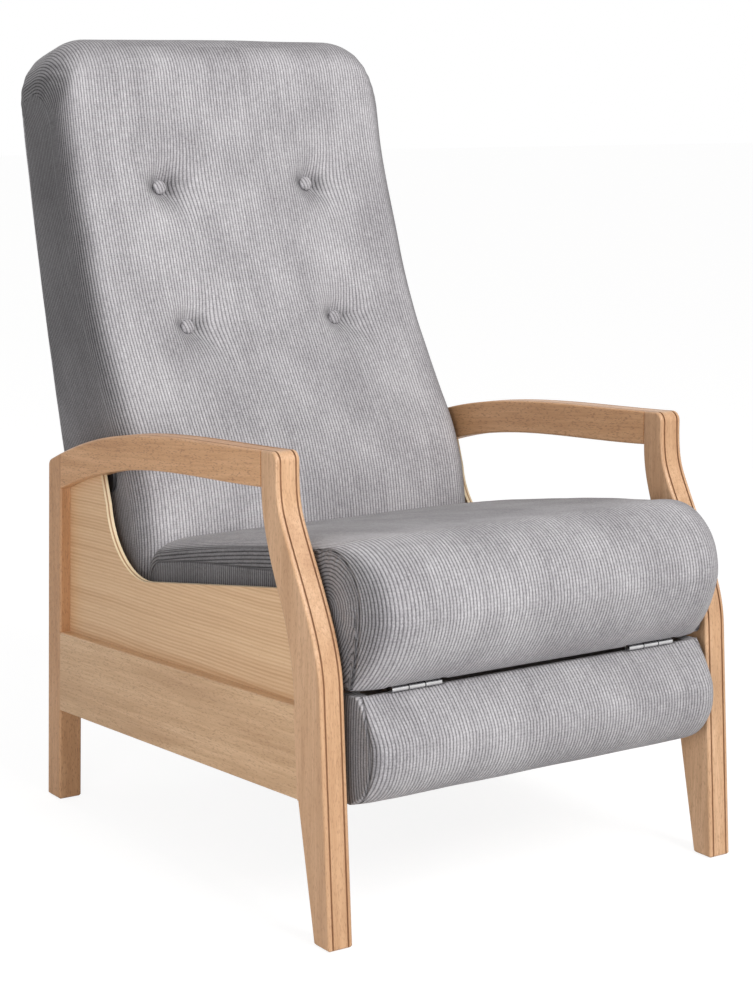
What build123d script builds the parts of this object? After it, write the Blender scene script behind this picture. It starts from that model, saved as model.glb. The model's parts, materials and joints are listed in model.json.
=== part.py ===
from build123d import *
import math
import os

# Reclining armchair with two wooden side frames, an upholstered seat and back and a hinged footrest.
# Lengths are millimetres. +X is the sitter's left, the chair faces -Y and +Z is up.
# Side outlines are drawn with y = 0 at the front foot and z = 0 on the floor. At the end the whole
# chair is moved so that the origin is the middle of its footprint.

# Whole chair
chair_width = 630
side_depth = 744.7
arm_front_height = 579.5
arm_rear_height = 493
overrun = 20

# Side frame members
member_thickness = 34
front_reach = 112
arm_front_corner = 12
arm_rear_corner = 11
arm_rear_fall = 0.4
arm_depth = 46
post_joint = 147.5
front_foot_depth = 33
rear_leg_depth = 38.5
rear_leg_splay = 23
rail_depth = 114
rail_front_bottom = 172
rail_rear_bottom = 130
edge_rounding = 3
foot_chamfer = 2
front_curve_shares = [(0.1625, 0.533), (0.302, 0.640), (0.584, 0.747), (0.887, 0.852), (1.0, 0.966)]
post_inner_shares = [(1.0, 0.919), (0.925, 0.813), (0.796, 0.733), (0.650, 0.654), (0.531, 0.538)]
post_rail_top_share = 0.512
post_rail_bottom_share = 0.462
arm_top_shares = [(0.3666, 0.102), (0.5664, 0.222), (0.7639, 0.484)]
arm_bottom_shares = [(0.393, 0.114, 1.0), (0.568, 0.222, 1.0), (0.758, 0.468, 1.055), (0.925, 0.882, 1.13)]

# Decorative grooves along the front and top edges of the posts and arms
groove_inset = 6.2
groove_width = 2.4
groove_depth = 1.7

# Side panel, held in grooves of the members round it
panel_thickness = 9
panel_inset = 15.5
panel_tongue = 6
panel_clearance = 0.25
panel_front_height = 431.5
panel_low_height = 358.5
panel_sweep_height = 444
panel_low_share = 0.6204
panel_sweep_share = 0.777
panel_top_share = 0.839

# Foot glides with their nails
glide_radius = 10
glide_thickness = 5
glide_stand = 1.5
glide_nail_radius = 1.25
glide_nail_length = 14

# Wood dowels in the frame joints
dowel_radius = 4
dowel_length = 40
dowel_clearance = 0.1
dowel_end_gap = 1
post_dowel_heights = [545, 564]
arm_dowel_drops = [19, 5]
rail_front_dowel_heights = [195, 250]
rail_rear_dowel_heights = [152, 202]
front_stretcher_dowels = [18, 52]
rear_stretcher_dowels = [17, 50]

# Stretchers between the side frames
stretcher_thickness = 22
front_stretcher_depth = 70
front_stretcher_y = 100
front_stretcher_z = 250
rear_stretcher_height = 66
rear_stretcher_z = 168

# General clearances
fit_gap = 0.3
running_gap = 0.08
seat_side_gap = 11
back_side_gap = 7
footrest_side_gap = 15
frame_side_gap = 36

# Seat frame
seat_rail_thickness = 25
seat_rail_height = 40
seat_frame_z = 304
seat_frame_front = 22
seat_frame_rear = 490

# Runners on the side rails and glide blocks under the seat frame
runner_z = 290
runner_ledge = 20
runner_wall = 22
runner_height = 62
runner_front = 176
runner_rear = 480
runner_reach = 40
runner_screw_places = [200, 330, 460]
runner_screw_z = 240
seat_glide_length = 30
seat_glide_width = 18
seat_glide_places = [262, 445]

# Zigzag seat springs with their clips and the felt over them
spring_count = 4
spring_wire = 1.9
spring_half_width = 22
spring_pitch = 26
spring_bend = 12
spring_spacing = 104
clip_length = 20
clip_width = 16
clip_height = 5
felt_thickness = 2

# Seat cushion
seat_end_round = 58
seat_rear = 503
seat_top_front = 476
seat_top_rear = 408
seat_nose = 52
seat_nose_height = 392
seat_lip = 12
seat_lip_draw = 19
seat_nose_draw = 62
seat_crest = 60
seat_crest_draw = 30
seat_end_drop = 16
seat_rear_round = 20
seat_crown = 5
lower_bulge_share = 0.703
lower_rise_share = 0.463
upper_bulge_share = 0.196
upper_rise_share = 0.726
footrest_bulge_share = 0.645
heel_bulge_share = 0.297
end_shares = [0, 0.28, 0.55, 0.76, 0.914, 0.983, 1]

# Front hinge line and its two butt hinges
hinge_y = 14
hinge_z = 300
hinge_length = 72
hinge_spacing = 364
hinge_barrel = 3.8
hinge_pin_radius = 1.6
hinge_leaf = 1.9
hinge_leaf_gap = 2.1
hinge_leaf_front = 18.2
hinge_leaf_rear = 38
knuckle_gap = 0.4
knuckle_count = 3
seat_leaf_screw_y = 27
footrest_leaf_screw_y = 32
leaf_screw_spacing = 48

# Footrest pad and board
footrest_end_round = 28
footrest_top_gap = 4.3
footrest_bottom = 164
footrest_nose = 31
footrest_nose_height = 246
footrest_back = 46
footrest_nose_draw = 29
footrest_lip = 12
footrest_lip_draw = 7
footrest_heel = 25
heel_draw = 4
board_thickness = 18
board_rim = 8
cover_thickness = 2
cover_margin = 1.6

# Recline linkage
plate_thickness = 4
plate_gap = 0.6
recline_pivot_y = 642
recline_pivot_z = 345
seat_travel = 65
recline_angle = 28
footrest_pin_back = 36
footrest_pin_drop = 63.8
lever_pin_back = 12
lever_pin_drop = 185
slot_play = 0.45
slot_down = 11.3
frame_slot_fall = 4
link_width = 18
link_low_y = 268
link_low_z = 134
link_bend = 220
lever_width = 30
lever_rear_width = 20
stile_lug_heights = [60, 100, 140]
stile_lug_inset = 30
hinge_plate_width = 26
hinge_plate_front = 430
hinge_plate_bend = 500
hinge_plate_screws = [436, 455]
frame_bracket_width = 36
frame_bracket_rear = 704
frame_bracket_drop = 20
frame_bracket_screws = [(700, -8), (700, 8), (668, 3)]
link_pin_radius = 4
pivot_bolt_radius = 5
frame_pin_radius = 6
pin_head = 2.4
pin_head_extra = 3
peened_extra = 0.8
bracket_flange = 22
bracket_height = 44
bracket_thickness = 3
bracket_screw_spacing = 30

# Back
back_lean = 14.9
back_foot_y = 717
back_foot_z = 345
back_length = 732
back_depth = 218
back_crown = 6
back_bow = 12
back_bow_share = 0.585
back_top_round = 64
back_front_round = 38
back_rear_round = 12
back_top_rear_round = 12
back_top_slim = 0.85
back_skirt = 60
back_shape_split = 0.55
back_height_shares = [
    -0.082, 0, 0.087, 0.164, 0.242, 0.322, 0.400, 0.478, 0.552, 0.627, 0.701, 0.776, 0.847, 0.9126,
]
back_depth_shares = [
    0.880, 0.975, 1.0, 0.968, 0.885, 0.798, 0.725, 0.670, 0.645, 0.627, 0.608, 0.596, 0.606, 0.618,
]
back_section_shares = [0, 0.45, 0.766, 0.81, 0.85, 0.8875, 0.925, 0.957, 0.98, 0.9935, 1]

# Back frame
stile_depth = 39.5
stile_inset = 8.2
stile_foot = 40
stile_head = 700
back_rail_height = 60
back_middle_rail = 300
strap_count = 6
strap_width = 50
strap_thickness = 2
strap_first = 110
strap_spacing = 100
rear_board = 3.4
rear_cover_seat = 4
back_pocket_front = 51

# Covered buttons on the back
button_spacing = 247
button_places = [(300, 138), (507, 112)]
button_radius = 10.5
button_thickness = 6
tie_radius = 1.2
toggle_radius = 5
toggle_thickness = 2
dimple_radius = 70

# Screws
screw_radius = 2
screw_head_radius = 4
screw_head = 1.6
screw_clearance = 0.1
board_screw_length = 14
rail_screw_length = 18

# Sizes that follow from the ones above
outer_x = chair_width / 2
inner_x = outer_x - member_thickness
middle_x = (outer_x + inner_x) / 2
panel_outer_x = outer_x - panel_inset
panel_inner_x = panel_outer_x - panel_thickness
seat_half_width = inner_x - seat_side_gap
back_half_width = inner_x - back_side_gap
footrest_half_width = inner_x - footrest_side_gap
plate_x = inner_x - frame_side_gap
plate_outer_x = plate_x + plate_thickness
lever_x = plate_outer_x + plate_gap
lever_outer_x = lever_x + plate_thickness
bracket_outer_x = plate_x - plate_gap
bracket_x = bracket_outer_x - plate_thickness
seat_frame_top = seat_frame_z + seat_rail_height
spring_z = seat_frame_top + spring_wire + running_gap
clip_top = seat_frame_top + clip_height
felt_z = spring_z + spring_wire + fit_gap
seat_pocket_top = felt_z + felt_thickness + fit_gap
seat_pocket_x = plate_outer_x + screw_head + fit_gap
board_front = seat_frame_front
board_back = board_front + board_thickness
board_half_width = plate_x + plate_gap
board_top = hinge_z - hinge_leaf_gap - hinge_leaf
board_bottom = footrest_bottom + board_rim
footrest_pin = (hinge_y + footrest_pin_back, hinge_z - footrest_pin_drop)
recline_pivot = (recline_pivot_y, recline_pivot_z)
lever_pin = (recline_pivot_y + lever_pin_back, recline_pivot_z - lever_pin_drop)
frame_pin_rise = seat_travel / (2 * math.tan(math.radians(recline_angle / 2)))
frame_pin = (recline_pivot_y - seat_travel / 2, recline_pivot_z + frame_pin_rise)
stile_outer_x = lever_x
stile_inner_x = stile_outer_x - seat_rail_thickness
stile_front = stile_inset + stile_depth
back_rail_front = stile_inset + seat_rail_thickness
board_rear_face = stile_inset - rear_board
back_pocket_x = lever_outer_x + screw_head + 2 * fit_gap
strap_front = stile_front + strap_thickness

parts = {}


def plate(face, low_x, high_x):
    """A solid with a side outline, from low_x to high_x."""
    return extrude(Plane.YZ.offset(low_x) * face, amount=high_x - low_x, dir=(1, 0, 0))


def block(low, high):
    """A box from its lowest to its highest corner."""
    size = [b - a for a, b in zip(low, high)]
    middle = [(a + b) / 2 for a, b in zip(low, high)]
    return Pos(*middle) * Box(*size)


def outline(*curves):
    """The face inside a closed run of curves."""
    edges = []
    for curve in curves:
        edges += curve.edges()
    return make_face(edges)


def polygon(*points):
    """The face inside straight lines between points."""
    return outline(Polyline(*points, close=True))


def bar(start, end, width):
    """The outline of a bar with round ends."""
    middle = ((start[0] + end[0]) / 2, (start[1] + end[1]) / 2)
    reach = math.dist(start, end)
    turn = math.degrees(math.atan2(end[1] - start[1], end[0] - start[0]))
    return Pos(*middle) * SlotCenterToCenter(reach, width, rotation=turn)


def disc(centre, radius):
    """A round outline."""
    return Pos(*centre) * Circle(radius)


def rod(start, end, radius):
    """A round rod between two points."""
    way = Vector(*end) - Vector(*start)
    return extrude(Plane(origin=start, z_dir=way) * Circle(radius), amount=way.length)


def along_x(centre, low_x, high_x, radius):
    """A round rod across the chair."""
    return rod((low_x, *centre), (high_x, *centre), radius)


def along_way(start, end, distance):
    """The point at a distance from the start on the way to the end."""
    share = distance / math.dist(start, end)
    return (start[0] + share * (end[0] - start[0]), start[1] + share * (end[1] - start[1]))


def mirrored(solid):
    """The mirror image on the sitter's right."""
    return mirror(solid, about=Plane.YZ)


def pair(solid):
    """A solid and its mirror image."""
    return [solid, mirrored(solid)]


def both_sides(name, solid):
    """One piece on the sitter's left and its mirror image on the right."""
    parts["left_" + name] = solid
    parts["right_" + name] = mirrored(solid)


def headed_pin(centre, low_x, high_x, radius, inner_extra):
    """A pin across the chair with a head outside low_x and outside high_x."""
    pin = along_x(centre, low_x - pin_head, high_x + pin_head, radius)
    pin += along_x(centre, low_x - pin_head, low_x, radius + inner_extra)
    return pin + along_x(centre, high_x, high_x + pin_head, radius + pin_head_extra)


def screw(at, way, length, slack=0):
    """A flat-headed screw whose head stands on the surface at a point, or its hole with some slack."""
    seat = Vector(*at)
    outward = Vector(*way).normalized()
    shank = rod(seat, seat - outward * (length + slack), screw_radius + slack)
    return shank + rod(seat, seat + outward * screw_head, screw_head_radius)


def drive(names, at, way, length):
    """A screw put through the named pieces, which get its hole."""
    hole = screw(at, way, length, screw_clearance)
    for name in names:
        parts[name] -= hole
    return screw(at, way, length)


def drive_both(names, at, way, length):
    """A screw through pieces on the left and its mirror image through those on the right."""
    left = drive(["left_" + name for name in names], at, way, length)
    other_at = (-at[0], at[1], at[2])
    other_way = (-way[0], way[1], way[2])
    return [left, drive(["right_" + name for name in names], other_at, other_way, length)]


# Lines of the side frame
def rear_line(z):
    return side_depth - rear_leg_splay * z / arm_rear_height


def leg_line(z):
    return rear_line(z) - rear_leg_depth


def rail_line(y):
    return rail_front_bottom + (rail_rear_bottom - rail_front_bottom) * y / side_depth


def arm_line(along_share, drop_share):
    drop = arm_front_height - arm_rear_height
    return (along_share * side_depth, arm_front_height - drop_share * drop)


def nearest(vertices, point):
    """The vertex nearest to a point."""
    return min(vertices, key=lambda vertex: math.dist((vertex.X, vertex.Y), point))


def side_silhouette():
    """The whole side frame with its opening filled in."""
    curve = [(y * front_reach, z * arm_front_height) for y, z in front_curve_shares]
    corner = (front_reach, arm_front_height)
    rear_y = rear_line(arm_rear_height)
    arm_end = (rear_y - arm_rear_corner, arm_rear_height)
    rear_top = (rear_y, arm_rear_height - arm_rear_fall * arm_rear_corner)
    arm = [arm_line(*share) for share in arm_top_shares]
    heel = (side_depth, 0)
    face = outline(
        Line((0, 0), curve[0]),
        Spline(*curve, tangents=[Vector(*curve[0]), Vector(0, 1)]),
        Line(curve[-1], corner),
        Spline(corner, *arm, arm_end, rear_top),
        Line(rear_top, heel),
        Line(heel, (0, 0)),
    )
    face = fillet(nearest(face.vertices(), corner), arm_front_corner)
    face = fillet(nearest(face.vertices(), rear_top), arm_rear_corner)
    floor = Pos(side_depth / 2, 0) * Rectangle(2 * side_depth, 2 * glide_stand)
    return face - floor


def post_region(shift):
    """Everything in front of the post's inner edge, moved forwards by a shift."""
    curve = [(y * post_joint, z * arm_front_height) for y, z in post_inner_shares]
    rail_top_y = post_rail_top_share * post_joint
    rail_bottom_y = post_rail_bottom_share * post_joint
    rail_top = (rail_top_y, rail_line(rail_top_y) + rail_depth)
    rail_bottom = (rail_bottom_y, rail_line(rail_bottom_y))
    top = arm_front_height + overrun
    foot = (front_foot_depth, 0)
    lean = Vector(rail_bottom[0] - rail_top[0], rail_bottom[1] - rail_top[1])
    face = outline(
        Spline(*curve, rail_top, tangents=[Vector(0, -1), lean]),
        Line(rail_top, rail_bottom),
        Line(rail_bottom, foot),
        Line(foot, (-overrun, 0)),
        Line((-overrun, 0), (-overrun, top)),
        Line((-overrun, top), (post_joint, top)),
        Line((post_joint, top), curve[0]),
    )
    return Pos(-shift, 0) * face


def rear_region(shift):
    """Everything behind the rear leg's front edge, moved backwards by a shift."""
    top = arm_front_height
    far = side_depth + overrun
    face = polygon((leg_line(0), 0), (leg_line(top), top), (far, top), (far, 0))
    return Pos(shift, 0) * face


def above_arm_region(shift):
    """Everything above the arm's lower edge, moved up by a shift."""
    points = []
    for along, drop, depth in arm_bottom_shares:
        y, z = arm_line(along, drop)
        points.append((y, z - depth * arm_depth))
    start = (post_joint, post_inner_shares[0][1] * arm_front_height)
    top = arm_front_height + overrun
    far = side_depth + overrun
    face = outline(
        Spline(start, *points),
        Line(points[3], (far, points[3][1])),
        Line((far, points[3][1]), (far, top)),
        Line((far, top), (post_joint, top)),
        Line((post_joint, top), start),
    )
    return Pos(0, shift) * face


def rail_band(low, high):
    """The band between the rail's lower edge raised by low and the same edge raised by high."""
    far = side_depth
    front = rail_line(0)
    rear = rail_line(far)
    return polygon((0, front + low), (far, rear + low), (far, rear + high), (0, front + high))


def panel_face(tongue):
    """The side panel's outline, which reaches into its neighbours by the tongue."""
    low = (panel_low_share * side_depth, panel_low_height)
    sweep = (panel_sweep_share * side_depth, panel_sweep_height)
    top = (panel_top_share * side_depth, arm_front_height)
    far_top = (side_depth, arm_front_height)
    start = (0, panel_front_height)
    way = Vector(low[0] - start[0], low[1] - start[1])
    face = outline(
        Line(start, low),
        TangentArc(low, sweep, tangent=way),
        Line(sweep, top),
        Line(top, far_top),
        Line(far_top, (side_depth, 0)),
        Line((side_depth, 0), (0, 0)),
        Line((0, 0), start),
    )
    face -= post_region(tongue)
    face -= rear_region(tongue)
    face -= above_arm_region(tongue)
    return face - rail_band(-rail_line(0), rail_depth - tongue)


def member(face):
    """A frame member with a side outline, in the middle of the chair."""
    return plate(face, -member_thickness / 2, member_thickness / 2)


def eased(solid, wanted, joints=()):
    """The solid with its wanted long edges rounded, but left sharp inside the joints."""
    edges = []
    for edge in solid.edges():
        middle = edge.center()
        flat = edge.bounding_box().size.X < fit_gap
        if flat and edge.length > overrun and wanted(middle.Y, middle.Z):
            edges.append(edge)
    rounded = fillet(edges, edge_rounding)
    for joint in joints:
        rounded += solid & member(joint)
    return rounded


def chamfered_foot(solid):
    """The solid with its lowest edges chamfered."""
    return chamfer(solid.edges().group_by(Axis.Z)[0], foot_chamfer)


# Side frames
silhouette = side_silhouette()
shell = silhouette - (Pos(groove_depth, -groove_depth) * silhouette)
grooves = []
for groove_x in (outer_x - groove_inset, inner_x + groove_inset):
    grooves.append(plate(shell, groove_x - groove_width / 2, groove_x + groove_width / 2))
panel_groove = plate(
    panel_face(panel_tongue + panel_clearance),
    panel_inner_x - panel_clearance,
    panel_outer_x + panel_clearance,
)
rail_end_y = post_rail_top_share * post_joint
post_strip = post_region(0) - post_region(edge_rounding)
leg_strip = rear_region(0) - rear_region(edge_rounding)
rail_zone = rail_band(0, rail_depth)
arm_zone = above_arm_region(0) & (Pos(0, -edge_rounding) * silhouette)

post = member(silhouette & post_region(0))
post = eased(post, lambda y, z: y < post_joint - fit_gap and z > front_foot_depth, [post_strip & rail_zone])
post = chamfered_foot(post)

rear_leg = member(silhouette & rear_region(0))
rear_leg = eased(rear_leg, lambda y, z: z > front_foot_depth, [leg_strip & rail_zone, leg_strip & arm_zone])
rear_leg = chamfered_foot(rear_leg)

arm = member((silhouette & above_arm_region(0)) - post_region(0) - rear_region(0))
arm = eased(arm, lambda y, z: post_joint + overrun < y < leg_line(z) - overrun)

side_rail = member(rail_band(0, rail_depth) - post_region(0) - rear_region(0))
side_rail = eased(side_rail, lambda y, z: post_joint < y < leg_line(z) - post_joint)

post, rear_leg, arm, side_rail = [Pos(middle_x, 0, 0) * piece for piece in (post, rear_leg, arm, side_rail)]
for groove in grooves:
    post -= groove
    arm -= groove
    rear_leg -= groove
post -= panel_groove
rear_leg -= panel_groove
arm -= panel_groove
side_rail -= panel_groove

both_sides("front_leg", post)
both_sides("rear_leg", rear_leg)
both_sides("arm", arm)
both_sides("side_rail", side_rail)
both_sides("side_panel", plate(panel_face(panel_tongue), panel_inner_x, panel_outer_x))

# Stretchers between the side frames
parts["front_stretcher"] = block(
    (-inner_x, front_stretcher_y, front_stretcher_z),
    (inner_x, front_stretcher_y + front_stretcher_depth, front_stretcher_z + stretcher_thickness),
)
rear_stretcher_y = leg_line(rear_stretcher_z + rear_stretcher_height / 2)
rear_stretcher_y += (rear_leg_depth - stretcher_thickness) / 2
parts["rear_stretcher"] = block(
    (-inner_x, rear_stretcher_y, rear_stretcher_z),
    (inner_x, rear_stretcher_y + stretcher_thickness, rear_stretcher_z + rear_stretcher_height),
)


def dowel(middle, way, names):
    """A dowel centred on a joint, whose hole goes into the named pieces."""
    axis = Vector(*way)
    centre = Vector(*middle)
    hole_reach = axis * (dowel_length / 2 + dowel_end_gap)
    hole = rod(centre - hole_reach, centre + hole_reach, dowel_radius + dowel_clearance)
    for name in names:
        parts[name] -= hole
    return rod(centre - axis * (dowel_length / 2), centre + axis * (dowel_length / 2), dowel_radius)


dowels = []
for side, x in (("left_", middle_x), ("right_", -middle_x)):
    for z in post_dowel_heights:
        dowels.append(dowel((x, post_joint, z), (0, 1, 0), [side + "front_leg", side + "arm"]))
    for drop in arm_dowel_drops:
        z = arm_rear_height - drop
        dowels.append(dowel((x, leg_line(z), z), (0, 1, 0), [side + "arm", side + "rear_leg"]))
    for z in rail_front_dowel_heights:
        dowels.append(dowel((x, rail_end_y, z), (0, 1, 0), [side + "front_leg", side + "side_rail"]))
    for z in rail_rear_dowel_heights:
        dowels.append(dowel((x, leg_line(z), z), (0, 1, 0), [side + "side_rail", side + "rear_leg"]))
    face_x = math.copysign(inner_x, x)
    for offset in front_stretcher_dowels:
        place = (face_x, front_stretcher_y + offset, front_stretcher_z + stretcher_thickness / 2)
        dowels.append(dowel(place, (1, 0, 0), [side + "side_rail", "front_stretcher"]))
    for offset in rear_stretcher_dowels:
        place = (face_x, rear_stretcher_y + stretcher_thickness / 2, rear_stretcher_z + offset)
        dowels.append(dowel(place, (1, 0, 0), [side + "rear_leg", "rear_stretcher"]))
parts["frame_dowels"] = dowels

# Foot glides
glides = []
for name, y in (("front_leg", front_foot_depth / 2), ("rear_leg", side_depth - rear_leg_depth / 2)):
    for side, x in (("left_", middle_x), ("right_", -middle_x)):
        pad = rod((x, y, 0), (x, y, glide_thickness), glide_radius)
        nail = rod((x, y, glide_thickness), (x, y, glide_thickness + glide_nail_length), glide_nail_radius)
        parts[side + name] -= rod((x, y, 0), (x, y, glide_thickness), glide_radius + screw_clearance)
        parts[side + name] -= rod((x, y, 0), (x, y, glide_thickness + glide_nail_length + fit_gap),
                                  glide_nail_radius + running_gap)
        glides.append(pad + nail)
parts["foot_glides"] = glides

# Runners on the side rails
runner_face = polygon(
    (inner_x, runner_z - runner_height),
    (inner_x, runner_z),
    (inner_x - runner_wall - runner_reach, runner_z),
    (inner_x - runner_wall - runner_reach, runner_z - runner_ledge),
    (inner_x - runner_wall, runner_z - runner_ledge),
    (inner_x - runner_wall, runner_z - runner_height),
)
runner_length = runner_rear - runner_front
runner = extrude(Plane.XZ.offset(-runner_front) * runner_face, amount=runner_length, dir=(0, 1, 0))
both_sides("seat_runner", runner)

# Brackets with the pins that the back turns on
bracket_z = arm_rear_height - frame_bracket_drop
bracket_face = bar((frame_pin[0], bracket_z), (frame_bracket_rear, bracket_z), frame_bracket_width)
bracket_face += bar((frame_pin[0], bracket_z), frame_pin, frame_bracket_width)
pivot_bracket = plate(bracket_face, inner_x - plate_thickness, inner_x)
pivot_bracket += along_x(frame_pin, lever_x - plate_gap, inner_x - plate_thickness, frame_pin_radius)
both_sides("pivot_bracket", pivot_bracket)

frame_screws = []
for y in runner_screw_places:
    place = (inner_x - runner_wall, y, runner_screw_z)
    names = ["seat_runner", "side_rail"]
    frame_screws += drive_both(names, place, (-1, 0, 0), runner_wall + rail_screw_length)
for y, rise in frame_bracket_screws:
    held = "rear_leg" if y > leg_line(bracket_z) else "arm"
    place = (inner_x - plate_thickness, y, bracket_z + rise)
    frame_screws += drive_both(["pivot_bracket", held], place, (-1, 0, 0), board_screw_length)
parts["frame_screws"] = frame_screws

# Seat frame
rail_x = plate_x - seat_rail_thickness
parts["seat_front_rail"] = block(
    (-plate_x, seat_frame_front, seat_frame_z),
    (plate_x, seat_frame_front + seat_rail_thickness, seat_frame_top),
)
parts["seat_rear_rail"] = block(
    (-plate_x, seat_frame_rear - seat_rail_thickness, seat_frame_z),
    (plate_x, seat_frame_rear, seat_frame_top),
)
both_sides("seat_rail", block(
    (rail_x, seat_frame_front + seat_rail_thickness, seat_frame_z),
    (plate_x, seat_frame_rear - seat_rail_thickness, seat_frame_top),
))

glide_low_x = rail_x + (seat_rail_thickness - seat_glide_width) / 2
seat_glides = []
for y in seat_glide_places:
    seat_glides += pair(block(
        (glide_low_x, y - seat_glide_length / 2, runner_z + running_gap),
        (glide_low_x + seat_glide_width, y + seat_glide_length / 2, seat_frame_z),
    ))
parts["seat_glides"] = seat_glides


def spring_points(x, first_y, last_y):
    """The bends of one zigzag spring that starts and ends on straight runs across the seat."""
    rows = 2 * round((last_y - first_y) / spring_pitch / 2)
    pitch = (last_y - first_y) / rows
    points = []
    for row in range(rows + 1):
        y = first_y + row * pitch
        ends = (x - spring_half_width, x + spring_half_width)
        if row % 2:
            ends = (ends[1], ends[0])
        points += [(ends[0], y, spring_z), (ends[1], y, spring_z)]
    return points


spring_start = seat_frame_front + seat_rail_thickness / 2
spring_end = seat_frame_rear - seat_rail_thickness / 2
springs = []
clips = []
for number in range(spring_count):
    x = (number - (spring_count - 1) / 2) * spring_spacing
    points = spring_points(x, spring_start, spring_end)
    path = FilletPolyline(*points, radius=spring_bend)
    springs.append(sweep(Plane(origin=points[0], z_dir=(1, 0, 0)) * Circle(spring_wire), path=path))
    for y in (spring_start, spring_end):
        clip = block((x - clip_length / 2, y - clip_width / 2, seat_frame_top),
                     (x + clip_length / 2, y + clip_width / 2, clip_top))
        clips.append(clip - along_x((y, spring_z), x - clip_length, x + clip_length, spring_wire + fit_gap))
parts["seat_springs"] = springs
parts["spring_clips"] = clips
parts["seat_felt"] = block(
    (-plate_x, seat_frame_front + seat_rail_thickness, felt_z),
    (plate_x, seat_frame_rear - seat_rail_thickness, felt_z + felt_thickness),
)


def between(start, end, along_share, rise_share):
    """A point whose two coordinates are at shares of the way from the start to the end."""
    return (start[0] + along_share * (end[0] - start[0]), start[1] + rise_share * (end[1] - start[1]))


def seat_section(share):
    """The seat cushion's outline in side view, at the crown for 0 and at the side for 1."""
    draw = 1 - math.sqrt(1 - share * share)
    lip = (seat_lip + draw * seat_lip_draw, seat_frame_z + fit_gap)
    nose = (draw * seat_nose_draw - seat_nose, seat_nose_height)
    crest = (seat_crest + draw * seat_crest_draw, seat_top_front - draw * seat_end_drop)
    lower = between(lip, nose, lower_bulge_share, lower_rise_share)
    upper = between(nose, crest, upper_bulge_share, upper_rise_share)
    top = seat_top_rear - draw * seat_end_drop
    slant = 1 - math.sqrt(1 / 2)
    before = (seat_rear - seat_rear_round, top + fit_gap)
    after = (seat_rear, top - seat_rear_round)
    turn = (seat_rear - slant * seat_rear_round, top - slant * seat_rear_round)
    middle = ((crest[0] + before[0]) / 2, (crest[1] + before[1]) / 2 + seat_crown)
    return outline(
        ThreePointArc(lip, lower, nose),
        ThreePointArc(nose, upper, crest),
        ThreePointArc(crest, middle, before),
        ThreePointArc(before, turn, after),
        Line(after, (seat_rear, lip[1])),
        Line((seat_rear, lip[1]), lip),
    )


def lofted(sections, ruled):
    """A solid through outlines, given with their places across the chair, and its mirror image."""
    faces = [Plane.YZ.offset(-x) * face for x, face in reversed(sections)]
    faces += [Plane.YZ.offset(x) * face for x, face in sections if x > 0]
    return loft(faces, ruled=ruled)


seat_flat = seat_half_width - seat_end_round
sections = [(0, seat_section(0)), (seat_flat / 2, seat_section(0))]
for share in end_shares:
    sections.append((seat_flat + share * seat_end_round, seat_section(share)))
seat_cushion = lofted(sections, False)
seat_cushion -= block(
    (-seat_pocket_x, seat_frame_front - fit_gap, 0),
    (seat_pocket_x, seat_frame_rear + fit_gap, seat_pocket_top),
)
slot_top = recline_pivot_z
seat_slot = block((plate_x - plate_gap, seat_frame_rear, 0), (seat_pocket_x, seat_rear + overrun, slot_top))
for slot in pair(seat_slot):
    seat_cushion -= slot
parts["seat_cushion"] = seat_cushion

# Hinges between the seat and the footrest
knuckle = (hinge_length - (knuckle_count - 1) * knuckle_gap) / knuckle_count
pin_bore = hinge_pin_radius + running_gap
seat_leaves = []
footrest_leaves = []
hinge_pins = []
for centre_x in (-hinge_spacing / 2, hinge_spacing / 2):
    low_x = centre_x - hinge_length / 2
    high_x = centre_x + hinge_length / 2
    leaf_low = hinge_z + hinge_leaf_gap
    leaf_high = leaf_low + hinge_leaf
    board_high = board_top + hinge_leaf
    seat_leaf = block((low_x, hinge_leaf_front, leaf_low), (high_x, hinge_leaf_rear, leaf_high))
    footrest_leaf = block((low_x, hinge_leaf_front, board_top), (high_x, hinge_leaf_rear, board_high))
    for number in range(knuckle_count):
        start = low_x + number * (knuckle + knuckle_gap)
        barrel = along_x((hinge_y, hinge_z), start, start + knuckle, hinge_barrel)
        if number % 2 == 0:
            tab = block((start, hinge_y, leaf_low), (start + knuckle, hinge_leaf_front, leaf_high))
            seat_leaf += barrel + tab
        else:
            tab = block((start, hinge_y, board_top), (start + knuckle, hinge_leaf_front, board_high))
            footrest_leaf += barrel + tab
    bore = along_x((hinge_y, hinge_z), low_x - overrun, high_x + overrun, pin_bore)
    seat_leaves.append(seat_leaf - bore)
    footrest_leaves.append(footrest_leaf - bore)
    hinge_pins.append(along_x((hinge_y, hinge_z), low_x, high_x, hinge_pin_radius))
parts["seat_hinge_leaves"] = seat_leaves[0] + seat_leaves[1]
parts["footrest_hinge_leaves"] = footrest_leaves[0] + footrest_leaves[1]
parts["hinge_pins"] = hinge_pins

# Hinge plates from the seat frame to the recline pivots
plate_run = bar((hinge_plate_front, seat_frame_z + seat_rail_height / 2),
                (hinge_plate_bend, seat_frame_z + seat_rail_height / 2), hinge_plate_width)
plate_run += bar((hinge_plate_bend, seat_frame_z + seat_rail_height / 2), recline_pivot, hinge_plate_width)
hinge_plate = plate(plate_run, plate_x, plate_outer_x)
hinge_plate -= along_x(recline_pivot, plate_x - overrun, lever_outer_x, pivot_bolt_radius)
both_sides("back_hinge_plate", hinge_plate)
parts["back_pivot_bolts"] = pair(
    headed_pin(recline_pivot, plate_x, lever_outer_x + running_gap, pivot_bolt_radius, pin_head_extra)
)

seat_screws = []
for y in hinge_plate_screws:
    place = (plate_outer_x, y, seat_frame_z + seat_rail_height / 2)
    seat_screws += drive_both(["back_hinge_plate", "seat_rail"], place, (1, 0, 0), rail_screw_length)


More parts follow.
